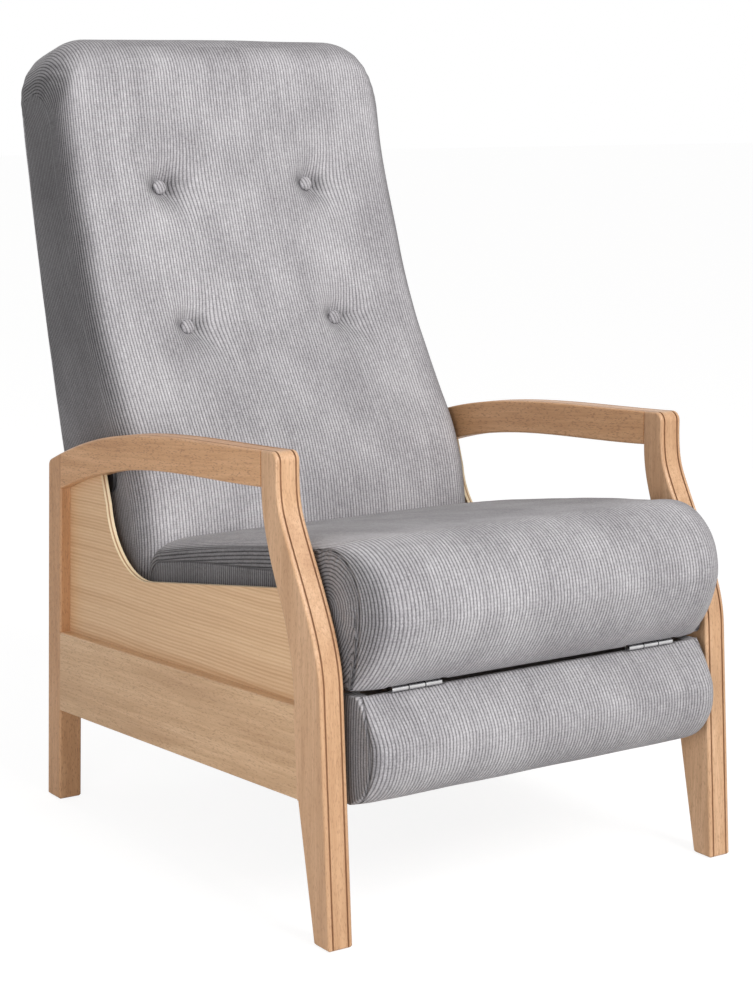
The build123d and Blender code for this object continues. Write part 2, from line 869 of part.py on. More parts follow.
# Footrest
def footrest_section(share):
    """The footrest pad's outline in side view, in its middle for 0 and at its side for 1."""
    draw = 1 - math.sqrt(1 - share * share)
    top = hinge_z - footrest_top_gap
    lip = (footrest_lip + draw * footrest_lip_draw, top)
    nose = (draw * footrest_nose_draw - footrest_nose, footrest_nose_height)
    heel = (footrest_heel + draw * heel_draw, footrest_bottom)
    upper = between(lip, nose, footrest_bulge_share, lower_rise_share)
    lower = between(nose, heel, heel_bulge_share, upper_rise_share)
    return outline(
        ThreePointArc(lip, upper, nose),
        ThreePointArc(nose, lower, heel),
        Line(heel, (footrest_back, footrest_bottom)),
        Line((footrest_back, footrest_bottom), (footrest_back, top)),
        Line((footrest_back, top), lip),
    )


footrest_flat = footrest_half_width - footrest_end_round
sections = [(0, footrest_section(0)), (footrest_flat / 2, footrest_section(0))]
for share in end_shares:
    sections.append((footrest_flat + share * footrest_end_round, footrest_section(share)))
footrest_cushion = lofted(sections, False)
footrest_cushion -= block(
    (-board_half_width - fit_gap, board_front - fit_gap, board_bottom - fit_gap),
    (board_half_width + fit_gap, footrest_back + overrun, hinge_z),
)
link_room = along_x(footrest_pin, bracket_x, plate_outer_x + pin_head + 2 * fit_gap, link_width * 2 / 3)
for room in pair(link_room):
    footrest_cushion -= room
parts["footrest_cushion"] = footrest_cushion
parts["footrest_board"] = block(
    (-board_half_width, board_front, board_bottom), (board_half_width, board_back, board_top)
)
cover_x = board_half_width - cover_margin
bracket_y = board_back + cover_thickness
parts["footrest_cover"] = block(
    (-cover_x, board_back, board_bottom), (cover_x, bracket_y, hinge_z - footrest_top_gap)
)

ear = disc(footrest_pin, link_width / 2)
ear_low = (bracket_y, footrest_pin[1] - link_width / 2)
ear += polygon(ear_low, (footrest_pin[0], ear_low[1]), (footrest_pin[0], ear_low[1] + link_width),
               (bracket_y, ear_low[1] + link_width))
ear &= polygon((bracket_y, ear_low[1] - overrun), (footrest_pin[0] + link_width, ear_low[1] - overrun),
               (footrest_pin[0] + link_width, ear_low[1] + link_width + overrun),
               (bracket_y, ear_low[1] + link_width + overrun))
bracket = plate(ear, bracket_x, bracket_outer_x)
bracket += block(
    (bracket_outer_x - bracket_flange, bracket_y, footrest_pin[1] - bracket_height / 2),
    (bracket_outer_x, bracket_y + bracket_thickness, footrest_pin[1] + bracket_height / 2),
)
bracket -= along_x(footrest_pin, bracket_x - overrun, plate_outer_x, link_pin_radius)
parts["footrest_brackets"] = bracket + mirrored(bracket)
parts["link_front_pins"] = pair(
    headed_pin(footrest_pin, bracket_x, plate_outer_x + running_gap, link_pin_radius, peened_extra)
)

footrest_screws = []
for centre_x in (-hinge_spacing / 2, hinge_spacing / 2):
    for step in (-leaf_screw_spacing / 2, leaf_screw_spacing / 2):
        place = (centre_x + step, seat_leaf_screw_y, hinge_z + hinge_leaf_gap)
        names = ["seat_hinge_leaves", "seat_front_rail"]
        seat_screws.append(drive(names, place, (0, 0, -1), rail_screw_length))
        place = (centre_x + step, footrest_leaf_screw_y, board_top + hinge_leaf)
        names = ["footrest_hinge_leaves", "footrest_board"]
        footrest_screws.append(drive(names, place, (0, 0, 1), rail_screw_length))
for side in (-1, 1):
    for step in (-bracket_screw_spacing / 2, bracket_screw_spacing / 2):
        x = side * (bracket_x - bracket_flange / 2 + plate_thickness / 2)
        place = (x, bracket_y + bracket_thickness, footrest_pin[1] + step)
        names = ["footrest_brackets", "footrest_cover", "footrest_board"]
        footrest_screws.append(drive(names, place, (0, 1, 0), rail_screw_length))
parts["seat_screws"] = seat_screws
parts["footrest_screws"] = footrest_screws

# Link bars from the footrest to the recline levers
link_path = FilletPolyline(footrest_pin, (link_low_y, link_low_z), lever_pin, radius=link_bend)
link_face = trace(link_path, link_width)
link_face += disc(footrest_pin, link_width / 2) + disc(lever_pin, link_width / 2)
link_bar = plate(link_face, plate_x, plate_outer_x)
link_bar -= along_x(footrest_pin, bracket_x, lever_x, link_pin_radius + running_gap)
link_bar -= along_x(lever_pin, bracket_x, lever_x, link_pin_radius)
both_sides("link_bar", link_bar)
link_pin = headed_pin(lever_pin, plate_x, lever_outer_x + running_gap, link_pin_radius, pin_head_extra)
both_sides("link_pin", link_pin)

# Back, drawn upright with y = 0 and z = 0 at the lower rear edge and then leaned backwards
back_place = Pos(0, back_foot_y, back_foot_z) * Rot(-back_lean, 0, 0)


def back_point(height, depth):
    """The side view point at a height up the back and a depth in front of its rear line."""
    lean = math.radians(back_lean)
    y = back_foot_y + height * math.sin(lean) - depth * math.cos(lean)
    return (y, back_foot_z + height * math.cos(lean) + depth * math.sin(lean))


def front_depth(height):
    """How far the front of the back stands out at a height, read between the tabled places."""
    heights = [share * back_length for share in back_height_shares]
    depths = [share * back_depth for share in back_depth_shares]
    for low, high, start, end in zip(heights, heights[1:], depths, depths[1:]):
        if height <= high:
            return start + (end - start) * (height - low) / (high - low)
    return depths[-1]


def corner_draw(reach, radius):
    """How far a rounded corner falls back at a distance from the middle of the back."""
    beyond = max(0, reach - (back_half_width - radius))
    return radius - math.sqrt(max(0, radius * radius - beyond * beyond))


def back_section(x):
    """The back cushion's outline in side view at a distance from the middle."""
    drop = corner_draw(x, back_top_round)
    draw = corner_draw(x, back_front_round)
    rear_draw = corner_draw(x, back_rear_round)
    crown = back_crown * (1 - (x / back_half_width) ** 2)
    split = back_shape_split * back_length
    last = back_height_shares[-1] * back_length
    front = []
    for share in back_height_shares:
        height = share * back_length
        if height > split:
            height = split + (height - split) * (last - drop - split) / (last - split)
        front.append((draw - crown - front_depth(height), height))
    top = back_length - drop
    slant = 1 - math.sqrt(1 / 2)
    top_end = (-rear_draw - back_top_rear_round, top)
    reach = top - front[-1][1]
    reach_back = min(reach, back_top_slim * (top_end[0] - front[-1][0]))
    top_start = (front[-1][0] + reach_back, top)
    top_turn = (front[-1][0] + slant * reach_back, top - slant * reach)
    bow_z = back_bow_share * back_length
    rear_bottom = (-rear_draw, -back_skirt)
    rear_top = (-rear_draw, top - back_top_rear_round)
    rear_bow = (back_bow - rear_draw, bow_z)
    rear_turn = (-rear_draw - slant * back_top_rear_round, top - slant * back_top_rear_round)
    rise = Vector(front[1][0] - front[0][0], front[1][1] - front[0][1])
    return outline(
        Spline(*front, tangents=[rise, Vector(0, 1)]),
        ThreePointArc(front[-1], top_turn, top_start),
        Line(top_start, top_end),
        ThreePointArc(top_end, rear_turn, rear_top),
        ThreePointArc(rear_top, rear_bow, rear_bottom),
        Line(rear_bottom, front[0]),
    )


section_places = [share * back_half_width for share in back_section_shares]
sections = [(x, back_section(x)) for x in section_places]
back_blank = lofted(sections, True)

button_x = button_spacing / 2
dimple_sag = dimple_radius - math.sqrt(dimple_radius ** 2 - button_radius ** 2)
for height, depth in button_places:
    bottom = button_thickness + dimple_sag + fit_gap - depth
    for hollow in pair(Pos(button_x, bottom - dimple_radius, height) * Sphere(dimple_radius)):
        back_blank -= hollow

pocket_low = -stile_foot - dowel_radius
pocket_high = stile_head + dowel_radius
pocket = block((-back_pocket_x, -back_pocket_front, pocket_low), (back_pocket_x, back_depth, pocket_high))
rear_cover = back_blank & block(
    (-back_pocket_x + fit_gap, -rear_cover_seat, pocket_low + fit_gap),
    (back_pocket_x - fit_gap, back_depth, pocket_high - fit_gap),
)
notch = block(
    (plate_x - pin_head - 2 * fit_gap, -back_depth - overrun, -back_skirt - overrun),
    (lever_outer_x + pin_head + 2 * fit_gap, -back_pocket_front, pivot_bolt_radius + running_gap),
)
back_cushion = back_blank - pocket
for cut in pair(notch):
    back_cushion -= cut

# Recline levers on the back's stiles, with the slots that its two sliding pins run in
lug_points = [back_point(height, stile_lug_inset) for height in stile_lug_heights]


def lever_blank(extra):
    """The recline lever's outline without its holes, wider by extra all round."""
    corners = [frame_pin, recline_pivot, lug_points[0], lug_points[-1]]
    face = polygon(*corners)
    for start, end in zip(corners, corners[1:] + corners[:1]):
        face += bar(start, end, lever_rear_width + 2 * extra)
    face += bar(frame_pin, recline_pivot, lever_width + 2 * extra)
    lowest = along_way(lever_pin, recline_pivot, -slot_down)
    return face + bar(recline_pivot, lowest, lever_width + 2 * extra)


frame_slot_end = along_way(frame_pin, recline_pivot, frame_slot_fall)
lever_slot_end = along_way(lever_pin, recline_pivot, -slot_down)
lever_face = lever_blank(0) - disc(recline_pivot, pivot_bolt_radius + running_gap)
lever_face -= bar(frame_pin, frame_slot_end, 2 * (frame_pin_radius + fit_gap))
lever_face -= bar(lever_pin, lever_slot_end, 2 * (link_pin_radius + slot_play))
both_sides("recline_lever", plate(lever_face, lever_x, lever_outer_x))

back_cushion = back_place * back_cushion
lever_room = plate(lever_blank(fit_gap), lever_x - fit_gap, lever_outer_x + fit_gap)
pin_room_radius = frame_pin_radius + frame_slot_fall + fit_gap
pin_room = along_x(frame_pin, lever_x - 2 * plate_gap, inner_x, pin_room_radius)
for cut in pair(lever_room) + pair(pin_room):
    back_cushion -= cut

# Back frame
both_sides("back_stile", back_place * block(
    (stile_inner_x, -stile_front, -stile_foot), (stile_outer_x, -stile_inset, stile_head)
))
rail_heights = {
    "back_bottom_rail": -stile_foot,
    "back_middle_rail": back_middle_rail - back_rail_height / 2,
    "back_top_rail": stile_head - back_rail_height,
}
for name, height in rail_heights.items():
    parts[name] = back_place * block(
        (-stile_inner_x, -back_rail_front, height), (stile_inner_x, -stile_inset, height + back_rail_height)
    )
parts["back_board"] = back_place * block(
    (-stile_outer_x, -stile_inset, -stile_foot), (stile_outer_x, -board_rear_face, stile_head)
)
parts["back_rear_cover"] = back_place * rear_cover

# Elastic straps over the stiles, and the covered buttons tied to them through the cushion
straps = []
for number in range(strap_count):
    middle = strap_first + number * strap_spacing
    straps.append(block(
        (-stile_outer_x, -strap_front, middle - strap_width / 2),
        (stile_outer_x, -stile_front, middle + strap_width / 2),
    ))
buttons = []
for height, depth in button_places:
    for x in (-button_x, button_x):
        button = rod((x, -depth, height), (x, button_thickness - depth, height), button_radius)
        button = fillet(button.edges().group_by(Axis.Y)[0], button_thickness / 2)
        tie_end = (x, -stile_front + toggle_thickness, height)
        button += rod((x, button_thickness / 2 - depth, height), tie_end, tie_radius)
        button += rod((x, -stile_front, height), tie_end, toggle_radius)
        buttons.append(back_place * button)
        tie_room = rod((x, -depth, height), (x, -stile_front, height), tie_radius + screw_clearance)
        straps = [strap - tie_room for strap in straps]
        back_cushion -= back_place * tie_room
parts["back_straps"] = [back_place * strap for strap in straps]
parts["back_buttons"] = buttons
parts["back_cushion"] = back_cushion

back_screws = []
for y, z in lug_points:
    names = ["recline_lever", "back_stile"]
    back_screws += drive_both(names, (lever_outer_x, y, z), (1, 0, 0), rail_screw_length)
parts["back_screws"] = back_screws


# The whole chair is moved so that its footprint is centred on the origin
def solids_of(shape):
    """All solids of a piece that may be one shape or a list of them."""
    if isinstance(shape, list):
        return [solid for item in shape for solid in item.solids()]
    return list(shape.solids())


pieces = {name: solids_of(shape) for name, shape in parts.items()}
boxes = [solid.bounding_box() for solids in pieces.values() for solid in solids]
front = min(box.min.Y for box in boxes)
rear = max(box.max.Y for box in boxes)
home = Pos(0, -(front + rear) / 2, 0)

os.makedirs("parts", exist_ok=True)
for name, solids in pieces.items():
    moved = [home * solid for solid in solids]
    export_step(moved[0] if len(moved) == 1 else Compound(children=moved), f"parts/{name}.step")
print("footprint from", round(front, 1), "to", round(rear, 1), "pieces", len(pieces))
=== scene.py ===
import bpy
import json
import math
import numpy as np
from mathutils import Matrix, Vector


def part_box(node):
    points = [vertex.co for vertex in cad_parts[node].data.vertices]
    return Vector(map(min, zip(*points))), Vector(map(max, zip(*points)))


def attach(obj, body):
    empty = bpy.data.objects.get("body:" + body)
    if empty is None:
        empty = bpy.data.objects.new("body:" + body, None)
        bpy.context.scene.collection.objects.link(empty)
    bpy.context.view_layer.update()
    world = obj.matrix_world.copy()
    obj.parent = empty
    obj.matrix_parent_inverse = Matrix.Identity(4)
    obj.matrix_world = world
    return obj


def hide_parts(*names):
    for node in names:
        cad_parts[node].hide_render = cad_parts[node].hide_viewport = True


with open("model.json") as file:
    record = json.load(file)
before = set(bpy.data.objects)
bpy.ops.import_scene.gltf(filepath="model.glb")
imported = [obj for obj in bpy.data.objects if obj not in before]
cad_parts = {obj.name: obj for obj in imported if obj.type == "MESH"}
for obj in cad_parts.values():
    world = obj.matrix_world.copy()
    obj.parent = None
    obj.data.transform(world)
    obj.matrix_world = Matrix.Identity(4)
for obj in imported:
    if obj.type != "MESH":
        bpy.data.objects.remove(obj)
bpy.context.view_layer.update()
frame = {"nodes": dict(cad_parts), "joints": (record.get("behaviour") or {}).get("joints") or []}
NODES = frame["nodes"]

# The side view of the chair is worked out from the front foot, and the frame's origin is the middle of
# the footprint, so every y is shifted by the same amount.
DRAWN_PIVOT = 0.642
PIVOT = next(joint for joint in frame["joints"] if joint["name"] == "back_recline")
SHIFT = DRAWN_PIVOT - PIVOT["pos_m"][1]

TURN = 2 * math.pi
QUARTER = math.pi / 2
TINY = 1e-12
WHITE = (1.0, 1.0, 1.0)

# Corduroy: distances between ribs, between rows of threads and between gathers
RIB_PITCH = 0.0048
ROW_PITCH = 0.0031
PLEAT_PITCH = 0.0105
RIB_DRIFT = 0.0010
RIB_HEIGHT = 0.0007
FOLD_HEIGHT = 0.0022
YARN = ((0.0, (0.222, 0.210, 0.226)), (0.45, (0.480, 0.465, 0.490)), (1.0, (0.805, 0.790, 0.818)))
# Painted shade in the seams' grooves
SEAM_SHADE_COLOUR = (0.075, 0.070, 0.076)
SEAM_EDGES = (0.0004, 0.0017)
RIDGE_PLACE = 0.0040
RIDGE_HALF = 0.0022
NO_SEAM = 0.05

# Beech
BEECH_PALE = (0.770, 0.515, 0.310)
BEECH_MIDDLE = (0.655, 0.412, 0.228)
BEECH_DEEP = (0.470, 0.262, 0.130)
BEECH_RAY = (0.30, 0.140, 0.065)
GRAIN_HEIGHT = 0.00012
# Painted shade in the posts' and arms' grooves
GROOVE_SHADE_COLOUR = (0.215, 0.092, 0.042)
GROOVE_PLACES = (0.3088, 0.2872)
GROOVE_EDGES = (0.0010, 0.0015)
VENEER_PALE = (0.790, 0.545, 0.325)
VENEER_MIDDLE = (0.715, 0.465, 0.262)
VENEER_DEEP = (0.575, 0.335, 0.170)
VENEER_RAY = (0.36, 0.185, 0.095)
STRIPE_PITCH = 0.0047
PLY_OUTER = (0.86, 0.70, 0.46)
PLY_CORE = (0.42, 0.24, 0.12)
CORE_EDGES = (0.2945, 0.2968)

# Hinges in the gap between seat and footrest: middle of a barrel, half its length and its splits
HINGE_PLACE = 0.182
HINGE_HALF = 0.036
KNUCKLE_SPLITS = (0.1699, 0.1941)
SPLIT_EDGES = (0.0005, 0.0010)
ROOM_FROM = 0.010
ROOM_TO = 0.004

# The back, drawn upright: along it from its foot, and in depth from its rear face
BACK_LEAN = math.radians(14.9)
BACK_FOOT = (0.717, 0.345)
BACK_LOW = -0.060
BACK_LENGTH = 0.732
BACK_HALF = 0.274
BACK_CROWN = 0.006
BACK_FRONT = (
    (BACK_LOW, 0.1918), (0, 0.2126), (0.064, 0.218), (0.120, 0.211), (0.177, 0.193), (0.236, 0.174),
    (0.293, 0.158), (0.350, 0.146), (0.404, 0.1406), (0.459, 0.1367), (0.513, 0.1325), (0.568, 0.130),
    (0.620, 0.132), (0.668, 0.1347),
)
BACK_HEIGHTS, BACK_DEPTHS = zip(*BACK_FRONT)
BACK_SPLIT = 0.40
BACK_FRONT_ROUND = 0.040
BACK_REAR_ROUND = 0.015
BACK_TOP_TURN = 0.026
BACK_CORNER = 0.074
BACK_BOW = (0.010, 0.42)
FRONT_BEND = 0.85
BEND_POINTS = 16
BEND_SPLIT = 8
BACK_STEPS = (170, 44, 170, 44)
BEND_STEPS = 20
SEAM_STEPS = 12
# Small folds that fan out round the top corners: their middle and reach, and the fan's own middle
CORNER_FOLDS = ((0.258, 0.680), (0.026, 0.046))
FAN_MIDDLE = (0.20, 0.62)
FAN_COUNT = 30
FAN_DEPTH = 0.0004
# How light the back's cloth is, and the painted shade that darkens it where it turns aside or upward
BACK_REAR_SHADE = 0.80
BACK_SIDE_PAINTED_SHADE = 0.62
BACK_TOP_PAINTED_SHADE = 0.22
BACK_GATHER = 0.4
BACK_GATHER_REACH = 0.012

# Buttons: place across, place along the back and depth of the cloth under them
BUTTONS = [(0.1235, 0.300, 0.138), (-0.1235, 0.300, 0.138), (0.1235, 0.507, 0.112), (-0.1235, 0.507, 0.112)]
BUTTON_RADIUS = 0.0101
BUTTON_DOME = 0.0045
BUTTON_SKIRT = ((0.0104, -0.0008), (0.0098, -0.0024), (0.0070, -0.0034))
BUTTON_SHADE = 0.96
TUFT_FLAT = 0.0098
TUFT_REACH = 0.022
TUFT_POWER = 0.95
TUFT_SQUASH = 0.92
PULL_SHARE = 0.34
PULL_REACH = 0.036
# Small folds that run out from the buttons: button, way in degrees, length and strength
CREASES = [
    (0, 8, 0.085, 1.0), (0, -38, 0.060, 0.8), (0, 100, 0.050, 0.5),
    (1, -50, 0.070, 0.9), (1, 150, 0.050, 0.5), (1, 80, 0.055, 0.6),
    (2, -48, 0.070, 0.9), (2, 85, 0.060, 0.6), (2, 160, 0.050, 0.4),
    (3, -55, 0.075, 1.0), (3, 95, 0.060, 0.7), (3, 200, 0.050, 0.4),
]
CREASE_START = 0.006
CREASE_DEPTH = 0.0020
CREASE_RIDGE = 0.0010
CREASE_WIDTH = 0.0035
CREASE_SPREAD = 0.12

# The seat cushion's side view: each size in the middle and how much it changes by the cushion's ends
SEAT_HALF = 0.270
SEAT_ROUND = 0.058
SEAT_LIP_Z = 0.3034
SEAT_LIP_Y = (0.012, 0.019)
SEAT_NOSE_Y = (-0.052, 0.062)
SEAT_NOSE_Z = 0.392
SEAT_CREST_Y = (0.060, 0.030)
SEAT_CREST_Z = (0.476, -0.016)
SEAT_TOP_Z = (0.408, -0.016)
SEAT_REAR_Y = (0.503, 0.012)
SEAT_CORNER = (0.020, 0.022)
SEAT_BASE_Z = 0.3046
SEAT_BASE_Y = 0.02
SEAT_CROWN = 0.005
SEAT_STEPS = (84, 104, 84, 104)
SEAT_PLUMP = (0.004, 0.016)
# Painted shade: the whole seat a little darker, its top behind the roll darker, and its ends darker where
# they turn aside
SEAT_PAINTED_SHADE = 0.87
SEAT_TOP_PAINTED_SHADE = 0.16
SEAT_SIDE_PAINTED_SHADE = 0.39
# The roll's gathered cap passes into the cushion's side here, and their seams lie this far in
CAP_END = (0.085, 0.135)
CAP_SEAM = 0.007
CAP_GATHER = 0.009
CAP_WANDER = 0.0005
SIDE_SEAM = 0.011
SIDE_SEAM_FALL = 0.016
# How far the middle of a quarter arc lies inside its corner, as a share of its radius
ARC_SHARE = 0.293

# The footrest pad's side view, in the same way
FOOT_HALF = 0.266
FOOT_ROUND = 0.028
FOOT_LIP_Z = 0.2974
FOOT_LIP_Y = (0.0125, 0.007)
FOOT_NOSE_Y = (-0.031, 0.029)
FOOT_NOSE_Z = 0.246
FOOT_HEEL_Y = (0.025, 0.004)
FOOT_HEEL_Z = 0.164
FOOT_TOP_Z = 0.2957
FOOT_TOP_Y = 0.020
FOOT_REAR_Y = 0.046
FOOT_STEPS = (84, 18, 84, 18)
FOOT_PLUMP = (0.003, 0.014)
# Painted shade: the whole pad a little darker, and its ends darker where they turn aside
FOOT_PAINTED_SHADE = 0.86
FOOT_SIDE_PAINTED_SHADE = 0.42
FOOT_SEAM = 0.009
FOOT_GATHER = 0.12
# Puckers at the top corners of its front
PUCKERS = ((0.222, 0.284), (0.020, 0.016))
PUCKER_DEPTH = 0.0030

# Bumps of each cushion: their size, seed and height
BACK_BUMPS = ((0.17, 3, 0.0012), (0.07, 5, 0.0005))
SEAT_BUMPS = ((0.15, 7, 0.0012), (0.06, 8, 0.0006))
FOOT_BUMPS = ((0.13, 17, 0.0012), (0.05, 18, 0.0005))
# Heights between which the pads' bumps fade out towards the gap
SEAT_CALM = (0.335, 0.390)
FOOT_CALM = (0.285, 0.245)
WAVE_COUNT = 9
WAVE_PACES = (0.6, 1.7)
WAVE_STARTS = (0, 6.28)
SHEET_WAVE = 0.09
SHEET_WAVE_SHARE = 0.3

# How far the two pads' facing edges make room beside a hinge barrel
SEAT_HINGE_ROOM = 0.0014
FOOT_HINGE_ROOM = 0.0017

# Floor, light and camera
FLOOR_GLOW_SHARE = 0.70
FLOOR_GLOW = 1.25
FLOOR_REACH = 30
WORLD_LIGHT = 0.42
# Lamps: place, the point that they face, side, power and colour
LAMPS = {
    "key": ((0.45, -3.5, 3.1), (0, 0, 0.7), 1.9, 122, (1.0, 0.985, 0.97)),
    "fill": ((-2.1, -1.9, 0.9), (-0.3, -0.3, 0.4), 1.0, 22, WHITE),
    "top": ((0.2, 0.4, 3.2), (0, 0, 0.5), 2.4, 6, WHITE),
}
CAMERA_PLACE = (-1.7029, -2.1578 - SHIFT, 1.0016)
CAMERA_FALL = 7.714
CAMERA_SWING = -33.994
CAMERA_LENS = 82.4
CAMERA_SENSOR = 36
CAMERA_SHIFT = -0.1
CAMERA_CLIP = (0.05, 200)


class Graph:
    """Short calls for building node trees."""

    def __init__(self, tree):
        self.tree = tree

    def node(self, kind, **settings):
        made = self.tree.nodes.new(kind)
        for key, value in settings.items():
            setattr(made, key, value)
        return made

    def put(self, socket, value):
        if isinstance(value, bpy.types.NodeSocket):
            self.tree.links.new(value, socket)
        else:
            socket.default_value = value

    def feed(self, node, values):
        """Puts numbers, colours or other nodes' outputs on a node's own inputs."""
        for name, value in values.items():
            self.put(node.inputs[name], value)

    def math(self, operation, *values, clamp=False):
        made = self.node("ShaderNodeMath", operation=operation, use_clamp=clamp)
        for socket, value in zip(made.inputs, values):
            self.put(socket, value)
        return made.outputs[0]

    def add(self, first, second, clamp=False):
        return self.math("ADD", first, second, clamp=clamp)

    def minus(self, first, second, clamp=False):
        return self.math("SUBTRACT", first, second, clamp=clamp)

    def times(self, first, second):
        return self.math("MULTIPLY", first, second)

    def absolute(self, value):
        return self.math("ABSOLUTE", value)

    def centred(self, value):
        """A noise moved from round a half to round zero."""
        return self.minus(value, 0.5)

    def coordinates(self):
        return self.node("ShaderNodeTexCoord").outputs["Object"]

    def normal(self):
        """The X, Y and Z of the surface's direction."""
        return self.split(self.node("ShaderNodeNewGeometry").outputs["Normal"])

    def split(self, vector):
        made = self.node("ShaderNodeSeparateXYZ")
        self.put(made.inputs[0], vector)
        return made.outputs

    def stretched(self, vector, scale, turn=(0, 0, 0)):
        made = self.node("ShaderNodeMapping")
        self.feed(made, {"Vector": vector, "Scale": scale, "Rotation": turn})
        return made.outputs[0]

    def noise(self, vector, scale=1.0, detail=4.0, rough=0.55, distortion=0.0):
        made = self.node("ShaderNodeTexNoise")
        self.feed(made, {"Vector": vector, "Scale": scale})
        self.feed(made, {"Detail": detail, "Roughness": rough, "Distortion": distortion})
        return made.outputs["Fac"]

    def ramp(self, value, *stops):
        made = self.node("ShaderNodeValToRGB")
        self.put(made.inputs["Fac"], value)
        elements = made.color_ramp.elements
        while len(elements) > len(stops):
            elements.remove(elements[-1])
        while len(elements) < len(stops):
            elements.new(1.0)
        for element, (place, colour) in zip(elements, stops):
            element.position = place
            element.color = (*colour, 1.0)
        return made.outputs["Color"]

    def span(self, value, low, high, out_low=0.0, out_high=1.0):
        """A value read from one range into another, and kept inside it."""
        made = self.node("ShaderNodeMapRange")
        self.feed(made, {"Value": value, "From Min": low, "From Max": high})
        self.feed(made, {"To Min": out_low, "To Max": out_high})
        return made.outputs[0]

    def mix(self, share, first, second, blend="MIX"):
        made = self.node("ShaderNodeMix", data_type="RGBA", blend_type=blend)
        self.put(made.inputs[0], share)
        for socket, value in ((made.inputs[6], first), (made.inputs[7], second)):
            self.put(socket, (*value, 1.0) if isinstance(value, tuple) and len(value) == 3 else value)
        return made.outputs[2]

    def bump(self, height, distance, strength, normal=None):
        made = self.node("ShaderNodeBump")
        self.feed(made, {"Height": height, "Distance": distance, "Strength": strength})
        if normal is not None:
            self.put(made.inputs["Normal"], normal)
        return made.outputs[0]


def new_material(name):
    """A material with its node tree and its shader, ready to be filled."""
    material = bpy.data.materials.new(name)
    material.use_nodes = True
    material.node_tree.nodes.clear()
    g = Graph(material.node_tree)
    output = g.node("ShaderNodeOutputMaterial")
    shader = g.node("ShaderNodeBsdfPrincipled")
    g.put(output.inputs["Surface"], shader.outputs["BSDF"])
    return material, g, shader


def corduroy():
    """Grey heathered corduroy, drawn from the values that each cushion's corners carry."""
    material, g, shader = new_material("corduroy_grey")

    def carried(name):
        return g.node("ShaderNodeAttribute", attribute_name=name).outputs["Fac"]

    seam, run = carried("seam"), carried("run")
    past = g.math("GREATER_THAN", seam, 0.0)
    rib = g.add(g.times(carried("rib"), g.minus(1.0, past)), g.times(carried("other"), past))
    place = g.node("ShaderNodeCombineXYZ")
    g.put(place.inputs[0], rib)
    g.put(place.inputs[1], run)

    def cloth_noise(across, along, detail, rough=0.55):
        return g.noise(g.stretched(place.outputs[0], (across, along, 1)), detail=detail, rough=rough)

    drift = g.times(g.centred(cloth_noise(across=30, along=9, detail=2.0)), RIB_DRIFT)
    phase = g.times(g.add(rib, drift), TURN / RIB_PITCH)
    wave = g.add(g.times(g.math("SINE", phase), 0.5), 0.5)
    wale = g.math("POWER", wave, 0.65)
    threads = cloth_noise(across=620, along=420, detail=2.0, rough=0.6)
    flecks = cloth_noise(across=300, along=120, detail=3.0, rough=0.65)
    patches = cloth_noise(across=11, along=8, detail=4.0)
    streaks = cloth_noise(across=95, along=5, detail=3.0, rough=0.6)
    tone = g.times(g.centred(flecks), 0.75)
    for value, weight in ((threads, 0.60), (patches, 0.80), (streaks, 0.30)):
        tone = g.add(tone, g.times(g.centred(value), weight))
    rows = g.math("SINE", g.times(g.add(run, drift), TURN / ROW_PITCH))
    tone = g.add(g.add(tone, g.times(rows, 0.045)), 0.5, clamp=True)
    yarn = g.ramp(tone, *YARN)
    # Painted shade in the valleys between the ribs
    depth = g.add(g.span(wale, 0.0, 0.8), g.times(g.centred(threads), 0.7), clamp=True)
    # The painted shade between the ribs is deeper where the cloth carries more painted shade
    valley_shade = g.mix(depth, g.span(carried("shade"), 0.40, 0.90, 0.12, 0.42), WHITE)
    colour = g.mix(1.0, yarn, valley_shade, "MULTIPLY")
    # Painted shade that each corner carries darkens the cloth
    colour = g.mix(1.0, colour, carried("shade"), "MULTIPLY")
    # The seam is a thin groove with a soft ridge on both sides, and painted shade in the groove
    gap = g.absolute(seam)
    groove = g.minus(1.0, g.span(gap, *SEAM_EDGES), clamp=True)
    beside = g.math("DIVIDE", g.minus(gap, RIDGE_PLACE), RIDGE_HALF)
    ridge = g.math("EXPONENT", g.times(g.times(beside, beside), -1.0))
    colour = g.mix(g.times(groove, 0.62), colour, SEAM_SHADE_COLOUR)
    uneven = g.times(cloth_noise(across=20, along=60, detail=1.0), 7.0)
    pleats = g.times(g.math("SINE", g.add(g.times(run, TURN / PLEAT_PITCH), uneven)), carried("gather"))
    folds = g.minus(g.add(g.times(ridge, 0.5), g.times(pleats, 0.5)), g.times(groove, 1.6))
    lie = g.bump(folds, FOLD_HEIGHT, 0.8)
    height = g.add(wale, g.times(threads, 0.35))
    g.feed(shader, {"Base Color": colour, "Normal": g.bump(height, RIB_HEIGHT, 0.75, lie)})
    g.feed(shader, {"Roughness": 0.92, "Specular IOR Level": 0.15})
    g.feed(shader, {"Sheen Weight": 0.15, "Sheen Roughness": 0.5})
    return material


def plain_cloth():
    """Flat woven black cloth."""
    material, g, shader = new_material("cloth_dark")
    where = g.coordinates()
    weave = g.noise(where, scale=900.0, detail=2.0)
    soft = g.noise(where, scale=24.0, detail=3.0)
    tone = g.add(g.times(weave, 0.7), g.times(soft, 0.3))
    colour = g.ramp(tone, (0.3, (0.020, 0.020, 0.022)), (0.7, (0.055, 0.055, 0.060)))
    g.feed(shader, {"Base Color": colour, "Roughness": 0.95, "Normal": g.bump(weave, 0.0004, 0.6)})
    return material


